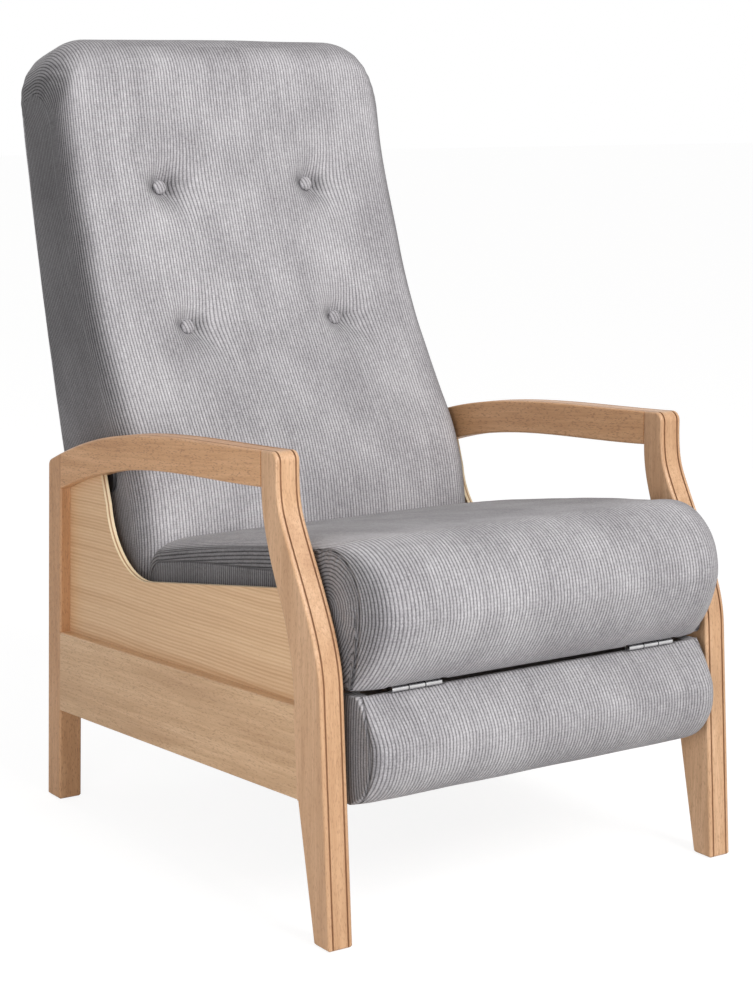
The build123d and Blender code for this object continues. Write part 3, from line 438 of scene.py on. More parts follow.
def wood(name, axis, tone=WHITE, slope=0.0, marks=1.0, grooves=False):
    """Beech with its grain along one axis, short reddish rays and a satin lacquer."""
    material, g, shader = new_material(name)
    where = g.coordinates()
    if slope:
        where = g.stretched(where, (1, 1, 1), (slope, 0, 0))
    long = {"x": 0, "y": 1, "z": 2}[axis]

    def grain(across, along, **character):
        scale = [across, across, across]
        scale[long] = along
        return g.noise(g.stretched(where, tuple(scale)), **character)

    def tinted(colour):
        return tuple(part * share for part, share in zip(colour, tone))

    fibres = grain(across=430, along=16, detail=3.0, rough=0.6)
    rays = g.span(grain(across=760, along=170, detail=1.0, rough=0.4), 0.57, 0.67)
    years = grain(across=16, along=1.4, detail=4.0, rough=0.55, distortion=0.6)
    bands = grain(across=70, along=3.0, detail=5.0, rough=0.6, distortion=0.3)
    tint = g.add(g.times(years, 0.55), g.times(bands, 0.45))
    deep = tinted(BEECH_DEEP)
    colour = g.ramp(tint, (0.34, tinted(BEECH_PALE)), (0.50, tinted(BEECH_MIDDLE)), (0.70, deep))
    colour = g.mix(g.times(g.span(fibres, 0.42, 0.68), 0.46), colour, deep)
    colour = g.mix(g.times(rays, 0.55 * marks), colour, BEECH_RAY)
    # Painted shade in the two decorative grooves
    if grooves:
        colour = g.mix(g.times(groove_lines(g), 0.62), colour, GROOVE_SHADE_COLOUR)
    lacquered(g, shader, colour, fibres, rays)
    return material


def lacquered(g, shader, colour, fibres, rays):
    """Satin lacquer over wood of a colour, with the grain just felt."""
    relief = g.bump(g.add(fibres, g.times(rays, 0.5)), GRAIN_HEIGHT, 0.5)
    rough = g.span(fibres, 0.3, 0.7, 0.40, 0.52)
    g.feed(shader, {"Base Color": colour, "Roughness": rough, "Normal": relief})
    g.feed(shader, {"Specular IOR Level": 0.40, "Coat Weight": 0.25, "Coat Roughness": 0.28})


def groove_lines(g):
    """1 inside the two decorative grooves of the posts and arms and 0 elsewhere."""
    normal = g.normal()
    reach = g.absolute(g.split(g.coordinates())["X"])
    gaps = [g.absolute(g.minus(reach, place)) for place in GROOVE_PLACES]
    outer, inner = [g.minus(1.0, g.span(gap, *GROOVE_EDGES)) for gap in gaps]
    forward = g.math("GREATER_THAN", g.minus(normal["Z"], normal["Y"]), 0.25)
    wall = g.math("GREATER_THAN", g.absolute(normal["X"]), 0.9)
    return g.times(g.math("MAXIMUM", outer, inner), g.math("MAXIMUM", forward, wall))


def veneer():
    """Straight-grained veneer with fine level stripes over a plywood core that shows at its cut edge."""
    material, g, shader = new_material("beech_veneer")
    where = g.coordinates()
    spot = g.split(where)
    bend = g.times(g.noise(g.stretched(where, (3, 2.2, 7)), detail=2.0), 0.016)
    slant = g.times(spot["Y"], 0.035)
    level = g.add(g.add(spot["Z"], slant), bend)
    stripes = g.math("SINE", g.times(level, TURN / STRIPE_PITCH))
    lines = g.node("ShaderNodeCombineXYZ")
    g.put(lines.inputs[1], spot["Y"])
    g.put(lines.inputs[2], level)

    def grain(across, along, **character):
        return g.noise(g.stretched(lines.outputs[0], (1, along, across)), **character)

    broad = grain(across=130, along=1.6, detail=4.0, rough=0.6)
    fibres = grain(across=900, along=26, detail=3.0, rough=0.6)
    rays = g.span(grain(across=900, along=160, detail=1.0, rough=0.4), 0.64, 0.72)
    tint = g.add(g.times(stripes, 0.17), g.times(broad, 0.95))
    colour = g.ramp(tint, (0.20, VENEER_PALE), (0.48, VENEER_MIDDLE), (0.80, VENEER_DEEP))
    colour = g.mix(g.times(g.span(fibres, 0.42, 0.70), 0.34), colour, VENEER_DEEP)
    colour = g.mix(g.times(rays, 0.24), colour, VENEER_RAY)
    # The cut edge shows a dark core ply between two pale ones
    cut = g.math("LESS_THAN", g.absolute(g.normal()["X"]), 0.5)
    reach = g.absolute(spot["X"])
    inside, outside = CORE_EDGES
    core = g.times(g.math("GREATER_THAN", reach, inside), g.math("LESS_THAN", reach, outside))
    colour = g.mix(cut, colour, g.mix(core, PLY_OUTER, PLY_CORE))
    lacquered(g, shader, colour, fibres, rays)
    return material


def metal(name, colour, rough, metallic=1.0, scale=400.0, splits=()):
    """Metal with fine brushed marks and slight smudges; on hinge barrels, painted shade on the upper and
    lower flanks and in dark rings where knuckles meet.
    """
    material, g, shader = new_material(name)
    where = g.coordinates()
    brushed = g.noise(g.stretched(where, (0.08, 1, 1)), scale=scale, detail=3.0)
    smudge = g.noise(where, scale=60.0, detail=3.0)
    shade = g.mix(g.span(smudge, 0.3, 0.7), colour, tuple(part * 0.82 for part in colour))
    if splits:
        # The upper and lower flanks of a barrel lie in the gap's own shade
        flank = g.span(g.absolute(g.normal()["Z"]), 0.45, 0.85)
        shade = g.mix(g.times(flank, 0.75), shade, (0.10, 0.10, 0.11))
        reach = g.absolute(g.split(where)["X"])
        # Painted shade in the dark rings where the knuckles meet
        for place in splits:
            ring = g.minus(1.0, g.span(g.absolute(g.minus(reach, place)), *SPLIT_EDGES))
            shade = g.mix(ring, shade, (0.03, 0.03, 0.03))
    uneven = g.span(brushed, 0.3, 0.7, rough * 0.8, rough * 1.25)
    g.feed(shader, {"Base Color": shade, "Metallic": metallic})
    g.feed(shader, {"Roughness": uneven, "Normal": g.bump(brushed, 0.00003, 0.4)})
    return material


def plastic(name, colour):
    """Moulded plastic with a fine grain and pale scuffs."""
    material, g, shader = new_material(name)
    where = g.coordinates()
    fine = g.noise(where, scale=700.0, detail=2.0)
    scuff = g.noise(where, scale=45.0, detail=4.0)
    scuffed = tuple(min(1, part * 1.8 + 0.01) for part in colour)
    worn = g.mix(g.span(scuff, 0.4, 0.7), colour, scuffed)
    rough = g.span(scuff, 0.3, 0.7, 0.45, 0.65)
    g.feed(shader, {"Base Color": worn, "Roughness": rough, "Normal": g.bump(fine, 0.00005, 0.3)})
    return material


def pale_floor():
    """A floor that stays white in the picture, with a soft shadow under the chair."""
    material, g, shader = new_material("floor_pale")
    g.feed(shader, {"Base Color": (0.80, 0.80, 0.80, 1), "Roughness": 0.9, "Specular IOR Level": 0.1})
    glow = g.node("ShaderNodeEmission")
    g.feed(glow, {"Strength": FLOOR_GLOW})
    blend = g.node("ShaderNodeMixShader")
    g.put(blend.inputs[0], g.times(g.node("ShaderNodeLightPath").outputs["Is Camera Ray"], FLOOR_GLOW_SHARE))
    g.put(blend.inputs[1], shader.outputs[0])
    g.put(blend.inputs[2], glow.outputs[0])
    output = next(node for node in material.node_tree.nodes if node.bl_idname == "ShaderNodeOutputMaterial")
    g.put(output.inputs["Surface"], blend.outputs[0])
    return material


def paint_node(name, material):
    """A better material on a CAD node."""
    mesh = NODES[name].data
    if not len(mesh.materials):
        mesh.materials.append(material)
    for slot in NODES[name].material_slots:
        slot.material = material


def in_scene(name, data):
    """A new object in the scene."""
    made = bpy.data.objects.new(name, data)
    bpy.context.scene.collection.objects.link(made)
    return made


def make_piece(name, points, faces, material):
    """A smooth-shaded object in the frame, with its material."""
    mesh = bpy.data.meshes.new(name)
    mesh.from_pydata(np.asarray(points).tolist(), [], faces)
    mesh.polygons.foreach_set("use_smooth", [True] * len(mesh.polygons))
    mesh.update()
    mesh.materials.append(material)
    piece = in_scene(name, mesh)
    return piece


def carry(mesh, values_at):
    """Gives each corner of each face the values that a function works out for the corners' points."""
    corner = np.zeros(len(mesh.loops), int)
    mesh.loops.foreach_get("vertex_index", corner)
    for name, value in values_at(corner).items():
        layer = mesh.attributes.new(name, "FLOAT", "CORNER")
        layer.data.foreach_set("value", np.broadcast_to(value, corner.shape).astype(float))


def even(points, count):
    """A line of points read again at even distances."""
    points = np.asarray(points, float)
    steps = np.concatenate([[0], np.cumsum(np.linalg.norm(np.diff(points, axis=0), axis=1))])
    places = np.linspace(0, steps[-1], count)
    return np.stack([np.interp(places, steps, points[:, k]) for k in range(points.shape[1])], axis=1)


def arc(start, through, end, count):
    """Points on the circle arc through three points."""
    (ax, ay), (bx, by), (cx, cy) = start, through, end
    d = 2 * (ax * (by - cy) + bx * (cy - ay) + cx * (ay - by))
    if abs(d) < TINY:
        return even([start, end], count)
    a, b, c = ax * ax + ay * ay, bx * bx + by * by, cx * cx + cy * cy
    ux = (a * (by - cy) + b * (cy - ay) + c * (ay - by)) / d
    uy = (a * (cx - bx) + b * (ax - cx) + c * (bx - ax)) / d
    radius = math.hypot(ax - ux, ay - uy)
    first, middle, last = [math.atan2(y - uy, x - ux) for x, y in (start, through, end)]
    turn = (last - first) % TURN
    if (middle - first) % TURN > turn:
        turn -= TURN
    angles = first + turn * np.linspace(0, 1, count)
    return np.stack([ux + radius * np.cos(angles), uy + radius * np.sin(angles)], axis=1)


def joined(*lines):
    """Lines end to end as one."""
    return np.concatenate([lines[0]] + [line[1:] for line in lines[1:]])


def between(start, end, share_y, share_z):
    """The point at a share of the way from one point to another, in each direction."""
    return start[0] + share_y * (end[0] - start[0]), start[1] + share_z * (end[1] - start[1])


def ease(value, low, high):
    """A smooth step from 0 at low to 1 at high."""
    share = np.clip((value - low) / (high - low), 0, 1)
    return share * share * (3 - 2 * share)


def corner_draw(reach, half, radius):
    """How far a round corner lies back at a place across a cushion."""
    beyond = np.clip(reach - (half - radius), 0, radius)
    return radius - math.sqrt(max(0.0, radius * radius - beyond * beyond))


def end_draw(reach, half, end_round):
    """The same as a share of the corner, from 0 before it to 1 at the cushion's end."""
    share = float(np.clip((reach - (half - end_round)) / end_round, 0, 1))
    return 1 - math.sqrt(1 - share * share)


def at_draw(size, draw):
    """A size in the middle of a cushion plus its change by the draw at a place."""
    return size[0] + draw * size[1]


def hinge_room(reach):
    """1 beside a hinge barrel and 0 away from it."""
    return float(ease(abs(reach - HINGE_PLACE), HINGE_HALF + ROOM_FROM, HINGE_HALF + ROOM_TO))


def dense_places(half, round_reach, middle_count, end_count):
    """Places across a cushion, closer together where its ends round off."""
    flat = np.linspace(0, half - round_reach, middle_count)
    ends = half - round_reach + round_reach * np.sin(np.linspace(0, QUARTER, end_count))
    half_places = np.concatenate([flat, ends[1:]])
    return np.concatenate([-half_places[::-1], half_places[1:]])


def smooth_noise(points, scale, seed):
    """Soft repeatable bumps from a few sine waves."""
    rng = np.random.default_rng(seed)
    total = np.zeros(len(points))
    for _ in range(WAVE_COUNT):
        way = rng.normal(size=3)
        way /= np.linalg.norm(way)
        pace = rng.uniform(*WAVE_PACES) / scale
        total += np.sin(points @ way * pace * TURN + rng.uniform(*WAVE_STARTS))
    return total / WAVE_COUNT


def unevenness(points, layers):
    """Bumps of several sizes, each given by its size, seed and height."""
    return sum(smooth_noise(points, size, seed) * height for size, seed, height in layers)


def spot_near(x, z, place, reach):
    """1 at a place on both halves of a cushion, fading out over its reach."""
    return np.exp(-(((np.abs(x) - place[0]) / reach[0]) ** 2 + ((z - place[1]) / reach[1]) ** 2))


def to_world(points):
    """From the drawn side view to the frame."""
    return points - np.asarray([0, SHIFT, 0])


def place_back(points):
    """From the upright back's own axes to the leaned back in the frame."""
    points = np.asarray(points, float)
    cos, sin = math.cos(BACK_LEAN), math.sin(BACK_LEAN)
    y = BACK_FOOT[0] + points[:, 1] * cos + points[:, 2] * sin
    z = BACK_FOOT[1] - points[:, 1] * sin + points[:, 2] * cos
    return to_world(np.column_stack([points[:, 0], y, z]))


class Pad:
    """A closed cushion made of side view outlines at places across the chair.

    Each outline has four sides in turn, and each side keeps its number of points. Every corner of every
    face carries the values that the cloth is drawn with: rib is the way across the ribs on the main
    cloth, other the same on a cloth sewn to it, seam the distance past the seam between them, run the way
    along the ribs, shade how light the cloth is, mostly painted shade, and gather how much it is gathered.
    Faces know their side: 0 to 3 in the outline's order, and 4 for the two ends.
    """

    def __init__(self, name, places, sides_at, counts, flat):
        self.name = name
        self.places = np.asarray(places)
        self.counts = counts
        rings = []
        for place in self.places:
            parts = [even(side, n + 1)[:-1] for side, n in zip(sides_at(place), counts)]
            rings.append(np.concatenate(parts))
        self.rings = np.asarray(rings)
        self.size = sum(counts)
        self.rows = len(self.places)
        across = np.repeat(self.places[:, None], self.size, axis=1)
        self.grid = np.dstack([across, self.rings])
        self.points = self.grid.reshape(-1, 3)
        self.faces = []
        self.side = []
        limits = np.cumsum(counts)
        for i in range(self.rows - 1):
            for j in range(self.size):
                k = (j + 1) % self.size
                low, high = i * self.size, (i + 1) * self.size
                self.faces.append((low + j, high + j, high + k, low + k))
                self.side.append(int(np.searchsorted(limits, j, side="right")))
        self.close(0)
        self.close(self.rows - 1)
        self.side = np.asarray(self.side)
        self.measure(flat)

    def close(self, end):
        """Fills one end with a grid between the outline's four sides."""
        a, b, c, d = self.counts
        ring = self.rings[end]
        base = end * self.size
        first = np.arange(0, a + 1)
        second = np.arange(a, a + b + 1)
        third = np.arange(a + b, a + b + c + 1)[::-1] % self.size
        fourth = np.arange(a + b + c, a + b + c + d + 1)[::-1] % self.size
        index = np.zeros((a + 1, b + 1), int)
        index[:, 0] = base + first
        index[:, b] = base + third
        index[0, :] = base + fourth
        index[a, :] = base + second
        v = (np.arange(1, a) / a)[:, None, None]
        u = (np.arange(1, b) / b)[None, :, None]
        low, high = ring[first][1:-1, None, :], ring[third][1:-1, None, :]
        foot, head = ring[fourth][None, 1:-1, :], ring[second][None, 1:-1, :]
        inner = (1 - u) * low + u * high + (1 - v) * foot + v * head
        inner = inner - (1 - u) * (1 - v) * ring[first[0]] - u * (1 - v) * ring[third[0]]
        inner = inner - (1 - u) * v * ring[first[-1]] - u * v * ring[third[-1]]
        inner = inner.reshape(-1, 2)
        index[1:a, 1:b] = len(self.points) + np.arange(len(inner)).reshape(a - 1, b - 1)
        column = np.full(len(inner), self.places[end])
        self.points = np.concatenate([self.points, np.column_stack([column, inner])])
        for r in range(a):
            for s in range(b):
                face = (index[r, s], index[r, s + 1], index[r + 1, s + 1], index[r + 1, s])
                self.faces.append(face if end else face[::-1])
                self.side.append(4)

    def measure(self, flat):
        """Works out the way across the ribs, the depth past the last outline and the way round it."""
        steps = np.linalg.norm(np.diff(self.grid, axis=0), axis=2)
        start = int(np.searchsorted(self.places, flat))
        across = np.repeat(self.places[:, None], self.size, axis=1)
        across[start:] = self.places[start - 1] + np.cumsum(steps[start - 1:], axis=0)
        across[:self.rows - start] = -across[start:][::-1]
        self.last = across[-1]
        outline = self.rings[-1]
        lengths = np.concatenate([[0], np.cumsum(np.linalg.norm(np.diff(outline, axis=0), axis=1))])
        count = self.rows * self.size
        self.rib = np.zeros(len(self.points))
        self.rib[:count] = across.ravel()
        self.deep = np.zeros(len(self.points))
        self.deep[:count] = (np.abs(across) - self.last[None, :]).ravel()
        self.around = np.zeros(len(self.points))
        self.around[:count] = np.tile(lengths, self.rows)
        edge = outline[:self.counts[0] + self.counts[1] + 1]
        inner = self.points[count:, 1:]
        # A few thousand points at a time, to spare memory
        block_size = 3000
        for start in range(0, len(inner), block_size):
            block = inner[start:start + block_size]
            gap = np.linalg.norm(block[:, None, :] - edge[None, :, :], axis=2)
            nearest = gap.argmin(axis=1)
            place = slice(count + start, count + start + len(block))
            self.deep[place] = gap.min(axis=1)
            self.around[place] = lengths[nearest]
            self.rib[place] = self.last[nearest] + gap.min(axis=1)
        self.rib[count:] *= np.sign(self.points[count:, 0])

    def build(self, values, placed):
        """Makes the object from the pad's points, moved by a function, and its corner values."""
        faces = [tuple(map(int, face)) for face in self.faces]
        piece = make_piece(self.name, placed(self.points), faces, FABRIC)
        side = np.repeat(self.side, 4)
        carry(piece.data, lambda corner: values(corner, side))
        return piece

    def normals(self):
        """Outward directions at the pad's points."""
        corners = self.points[np.asarray(self.faces)]
        ways = np.cross(corners[:, 2] - corners[:, 0], corners[:, 3] - corners[:, 1])
        total = np.zeros_like(self.points)
        for k in range(4):
            np.add.at(total, np.asarray(self.faces)[:, k], ways)
        return total / np.maximum(np.linalg.norm(total, axis=1), TINY)[:, None]

    def end_swell(self, height, reach):
        """How far the flat ends stand out across the chair, more with the distance from their edges."""
        x = self.points[:, 0]
        swell = height * (1 - np.exp(-np.clip(self.deep, 0, 1) / reach))
        return np.sign(x) * np.where(np.abs(x) > self.places[-1] - 0.0001, swell, 0)


# The back's depth along it, smoothed over its neighbours
LINE_POINTS = 400
KERNEL_HALF = 20
HEIGHT_LINE = np.linspace(BACK_HEIGHTS[0], BACK_HEIGHTS[-1], LINE_POINTS)
KERNEL = np.exp(-np.linspace(-2.2, 2.2, 2 * KERNEL_HALF + 1) ** 2)
ROUGH_LINE = np.interp(HEIGHT_LINE, BACK_HEIGHTS, BACK_DEPTHS)
DEPTH_LINE = np.convolve(np.pad(ROUGH_LINE, KERNEL_HALF, mode="edge"), KERNEL / KERNEL.sum(), "valid")


def back_crown(reach):
    """How far the back's face stands out at a place across it."""
    return BACK_CROWN * (1 - (reach / BACK_HALF) ** 2)


def back_sides(place):
    """The back's side view at a place across it: front, top, rear and foot."""
    reach = abs(place)
    drop = corner_draw(reach, BACK_HALF, BACK_CORNER)
    draw = corner_draw(reach, BACK_HALF, BACK_FRONT_ROUND)
    rear = corner_draw(reach, BACK_HALF, BACK_REAR_ROUND)
    last = BACK_HEIGHTS[-1]
    heights = np.linspace(BACK_LOW, last, 120)
    depths = np.interp(heights, HEIGHT_LINE, DEPTH_LINE)
    raised = BACK_SPLIT + (heights - BACK_SPLIT) * (last - drop - BACK_SPLIT) / (last - BACK_SPLIT)
    moved = np.where(heights > BACK_SPLIT, raised, heights)
    front = np.column_stack([draw - back_crown(reach) - depths, moved])
    top = BACK_LENGTH - drop
    end = (-rear - BACK_TOP_TURN, top)
    rise = top - front[-1, 1]
    back = min(rise, FRONT_BEND * (end[0] - front[-1, 0]))
    angles = np.linspace(0, QUARTER, BEND_POINTS)
    bend = np.column_stack([front[-1, 0] + back * (1 - np.cos(angles)), front[-1, 1] + rise * np.sin(angles)])
    turn = np.column_stack([np.sin(angles), np.cos(angles) - 1]) * BACK_TOP_TURN + end
    bow = arc((-rear, top - BACK_TOP_TURN), (BACK_BOW[0] - rear, BACK_BOW[1]), (-rear, BACK_LOW), 40)
    over = joined(bend[BEND_SPLIT - 1:], np.asarray([bend[-1], end]), turn)
    foot = np.asarray([(-rear, BACK_LOW), front[0]])
    return joined(front, bend[:BEND_SPLIT]), over, bow, foot


def tufted(pad):
    """Draws the pad in at its buttons and returns how far the ribs are pulled towards them."""
    x, _, z = pad.points.T
    frontal = np.clip(-pad.normals()[:, 1] * 1.4 - 0.1, 0, 1)
    sink = np.zeros(len(x))
    pull = np.zeros(len(x))
    for button_x, button_z, depth in BUTTONS:
        dx, dz = x - button_x, z - button_z
        reach = np.sqrt(dx * dx + (dz * TUFT_SQUASH) ** 2)
        fall = np.interp(button_z, HEIGHT_LINE, DEPTH_LINE) + back_crown(button_x) - depth + BUTTON_DOME
        sink += fall * np.exp(-(np.clip(reach - TUFT_FLAT, 0, 1) / TUFT_REACH) ** TUFT_POWER)
        pull += PULL_SHARE * dx * np.exp(-(reach / PULL_REACH) ** 2)
    for number, angle, length, strength in CREASES:
        dx, dz = x - BUTTONS[number][0], z - BUTTONS[number][1]
        way = (math.cos(math.radians(angle)), math.sin(math.radians(angle)))
        along = dx * way[0] + dz * way[1]
        aside = -dx * way[1] + dz * way[0]
        start = np.clip(along - CREASE_START, 0, 1)
        fade = np.where(along > CREASE_START, np.exp(-(start / (length * 0.6)) ** 1.5), 0)
        width = CREASE_WIDTH + CREASE_SPREAD * np.clip(along, 0, 1)
        ridge = np.exp(-((aside - 2 * width) / width) ** 2) + np.exp(-((aside + 2 * width) / width) ** 2)
        sink += strength * fade * (CREASE_DEPTH * np.exp(-(aside / width) ** 2) - CREASE_RIDGE * ridge)
    pad.points[:, 1] += sink * frontal
    return pull


def make_back():
    """The upholstered back with its rear cover, drawn upright and then leaned."""
    places = dense_places(BACK_HALF, BACK_CORNER, middle_count=44, end_count=28)
    pad = Pad("backrest_upholstery", places, back_sides, BACK_STEPS, BACK_HALF - BACK_CORNER)
    pull = tufted(pad)
    x, y, z = pad.points.T
    fan = np.arctan2(z - FAN_MIDDLE[1], np.abs(x) - FAN_MIDDLE[0])
    folds = np.sin(fan * FAN_COUNT) * FAN_DEPTH * spot_near(x, z, *CORNER_FOLDS)
    soft = unevenness(pad.points, BACK_BUMPS)
    pad.points += pad.normals() * (soft + folds)[:, None]
    normals = pad.normals()
    # The side's own ribs run on from the front edge
    front_steps = pad.counts[0]
    outline = pad.rings[-1]
    edge_y = np.interp(z, outline[:front_steps, 1], outline[:front_steps, 0])
    front_last = pad.last[:front_steps - BEND_STEPS].mean()
    side_rib = np.sign(x) * (front_last + y - edge_y)
    # Distance from the top edge of the side, where the cloth gathers
    top_edge = outline[front_steps - SEAM_STEPS:front_steps + pad.counts[1]]
    seam_gap = np.full(len(x), NO_SEAM)
    near = (np.abs(x) > 0.24) & (z > 0.5)
    spots = np.column_stack([y, z])[near]
    seam_gap[near] = np.linalg.norm(spots[:, None, :] - top_edge[None, :, :], axis=2).min(axis=1)

    def values(corner, side):
        # Painted shade: sides darker where the cloth turns aside, less so low down beside the arm and where
        # it turns up, and the top darker where it turns upward
        aside, upward = np.abs(normals[corner, 0]), normals[corner, 2]
        dark = ease(aside, 0.28, 0.95) * (1 - ease(upward, 0.10, 0.75))
        dark *= 0.66 + 0.34 * ease(z[corner], 0.10, 0.32)
        over = 1 - BACK_TOP_PAINTED_SHADE * ease(upward, 0.15, 0.70)
        return {
            "rib": np.where(side == 2, x[corner], pad.rib[corner] + pull[corner]),
            "other": side_rib[corner],
            "seam": np.where(side == 4, NO_SEAM, -NO_SEAM),
            "run": z[corner] + np.where(side == 1, y[corner], 0) + np.where(side == 2, 0.7, 0),
            "shade": np.where(side == 2, BACK_REAR_SHADE, (1 - BACK_SIDE_PAINTED_SHADE * dark) * over),
            "gather": BACK_GATHER * np.exp(-(seam_gap[corner] / BACK_GATHER_REACH) ** 2),
        }

    piece = pad.build(values, place_back)
    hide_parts("back_cushion", "back_rear_cover")
    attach(piece, "backrest")


def make_buttons():
    """Four domed buttons covered in the same cloth."""
    rings, around = 10, 28
    shape = [(BUTTON_RADIUS * math.sin(QUARTER * r / rings), BUTTON_DOME * math.cos(QUARTER * r / rings))
             for r in range(1, rings + 1)]
    shape += BUTTON_SKIRT
    points, faces = [], []
    for button_x, button_z, depth in BUTTONS:
        start = len(points)
        points.append((button_x, -depth - BUTTON_DOME, button_z))
        for radius, out in shape:
            for k in range(around):
                turn = TURN * k / around
                x, z = button_x + radius * math.cos(turn), button_z + radius * math.sin(turn)
                points.append((x, -depth - out, z))
        for k in range(around):
            n = (k + 1) % around
            faces.append((start, start + 1 + k, start + 1 + n))
            for r in range(len(shape) - 1):
                low = start + 1 + r * around
                faces.append((low + k, low + around + k, low + around + n, low + n))
        last = start + 1 + (len(shape) - 1) * around
        faces.append(tuple(last + k for k in range(around))[::-1])
    points = np.asarray(points)

    def values(corner):
        x, z = points[corner, 0], points[corner, 2]
        return {"rib": x * 0.94 + z * 0.34, "run": z, "seam": -NO_SEAM, "shade": BUTTON_SHADE}

    piece = make_piece("tufting_buttons", place_back(points), faces, FABRIC)
    carry(piece.data, values)
    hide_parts("back_buttons")
    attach(piece, "backrest")


def seat_sides(place):
    """The seat cushion's side view: roll, top, rear and bottom."""
    reach = abs(place)
    draw = end_draw(reach, SEAT_HALF, SEAT_ROUND)
    lip = (at_draw(SEAT_LIP_Y, draw), SEAT_LIP_Z + SEAT_HINGE_ROOM * hinge_room(reach))
    nose = (at_draw(SEAT_NOSE_Y, draw), SEAT_NOSE_Z)
    crest = (at_draw(SEAT_CREST_Y, draw), at_draw(SEAT_CREST_Z, draw))
    top, rear, bend = [at_draw(size, draw) for size in (SEAT_TOP_Z, SEAT_REAR_Y, SEAT_CORNER)]
    before = (rear - bend, top + 0.0005)
    after = (rear, top - bend)
    turn = (rear - ARC_SHARE * bend, top - ARC_SHARE * bend)
    middle = ((crest[0] + before[0]) / 2, (crest[1] + before[1]) / 2 + SEAT_CROWN)
    lower, upper = between(lip, nose, 0.685, 0.463), between(nose, crest, 0.196, 0.726)
    roll = joined(arc(lip, lower, nose, 40), arc(nose, upper, crest, 40))
    over = joined(arc(crest, middle, before, 50), arc(before, turn, after, 10))
    base = (rear, SEAT_BASE_Z)
    return roll, over, np.asarray([after, base]), np.asarray([base, (SEAT_BASE_Y, SEAT_BASE_Z), lip])


def make_seat():
    """The seat cushion with its thick front roll and gathered end caps."""
    places = dense_places(SEAT_HALF, SEAT_ROUND, middle_count=54, end_count=28)
    pad = Pad("seat_upholstery", places, seat_sides, SEAT_STEPS, SEAT_HALF - SEAT_ROUND)
    _, y, z = pad.points.T
    soft = unevenness(pad.points, SEAT_BUMPS)
    soft *= ease(z, *SEAT_CALM)
    swell = pad.end_swell(*SEAT_PLUMP)
    pad.points += pad.normals() * soft[:, None]
    pad.points[:, 0] += swell
    normals = pad.normals()
    front = 1 - ease(y, *CAP_END)
    # The seam runs just before the end of the roll and lies lower on the cushion's side
    past = pad.deep + CAP_SEAM * front - (SIDE_SEAM + SIDE_SEAM_FALL * ease(y, 0.50, 0.15)) * (1 - front)
    upright = np.sign(pad.points[:, 0]) * (0.6 + y)
    # The cap's ribs wander beside the seam
    wander = CAP_WANDER * np.sin(pad.around * 300 + np.sin(pad.around * 70) * 2)
    wander = wander * np.exp(-((pad.deep - 0.010) / 0.014) ** 2)

    def values(corner, side):
        rib = pad.rib[corner]
        # Painted shade on the whole seat, on the top behind the roll and on the turned ends
        turned = ease(np.abs(normals[corner, 0]), 0.5, 0.97)
        level = SEAT_PAINTED_SHADE - SEAT_TOP_PAINTED_SHADE * ease(y[corner], 0.07, 0.16)
        return {
            "rib": rib,
            "other": np.where(front[corner] > 0.5, rib + wander[corner], upright[corner]),
            "seam": np.where(side == 3, -NO_SEAM, past[corner]),
            "run": pad.around[corner],
            "shade": level * (1 - SEAT_SIDE_PAINTED_SHADE * turned),
            "gather": np.exp(-((past[corner] - CAP_GATHER) / CAP_GATHER) ** 2) * front[corner],
        }

    piece = pad.build(values, to_world)
    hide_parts("seat_cushion")
    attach(piece, "seat")


def footrest_sides(place):
    """The footrest pad's side view: front, top, rear and foot."""
    reach = abs(place)
    draw = end_draw(reach, FOOT_HALF, FOOT_ROUND)
    lip = (at_draw(FOOT_LIP_Y, draw), FOOT_LIP_Z - FOOT_HINGE_ROOM * hinge_room(reach))
    nose = (at_draw(FOOT_NOSE_Y, draw), FOOT_NOSE_Z)
    heel = (at_draw(FOOT_HEEL_Y, draw), FOOT_HEEL_Z)
    upper, lower = between(lip, nose, 0.58, 0.45), between(nose, heel, 0.297, 0.726)
    front = joined(arc(heel, lower, nose, 40), arc(nose, upper, lip, 30))
    head, foot = (FOOT_REAR_Y, FOOT_TOP_Z), (FOOT_REAR_Y, FOOT_HEEL_Z)
    over = np.asarray([lip, (FOOT_TOP_Y, FOOT_TOP_Z), head])
    return front, over, np.asarray([head, foot]), np.asarray([foot, heel])


def make_footrest():
    """The footrest pad, whose front and ends are one cloth."""
    places = dense_places(FOOT_HALF, FOOT_ROUND, middle_count=62, end_count=24)
    pad = Pad("footrest_upholstery", places, footrest_sides, FOOT_STEPS, FOOT_HALF - FOOT_ROUND)
    x, y, z = pad.points.T
    soft = unevenness(pad.points, FOOT_BUMPS)
    soft *= ease(z, *FOOT_CALM)
    soft -= PUCKER_DEPTH * spot_near(x, z, *PUCKERS)
    swell = pad.end_swell(*FOOT_PLUMP)
    frontal = np.clip(-pad.normals()[:, 1] * 2, 0, 1)
    pad.points += pad.normals() * (soft * frontal)[:, None]
    pad.points[:, 0] += swell
    normals = pad.normals()
    past = pad.deep + FOOT_SEAM

    def values(corner, side):
        # Painted shade on the whole pad and on the turned ends
        turned = ease(np.abs(normals[corner, 0]), 0.55, 0.97)
        return {
            "rib": pad.rib[corner],
            "other": np.sign(x[corner]) * (0.4 + y[corner]),
            "seam": np.where((side == 4) | (side == 0), past[corner], -NO_SEAM),
            "run": pad.around[corner],
            "shade": FOOT_PAINTED_SHADE * (1 - FOOT_SIDE_PAINTED_SHADE * turned),
            "gather": FOOT_GATHER * np.exp(-((past[corner] - 0.007) / 0.006) ** 2),
        }

    piece = pad.build(values, to_world)
    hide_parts("footrest_cushion")
    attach(piece, "footrest")


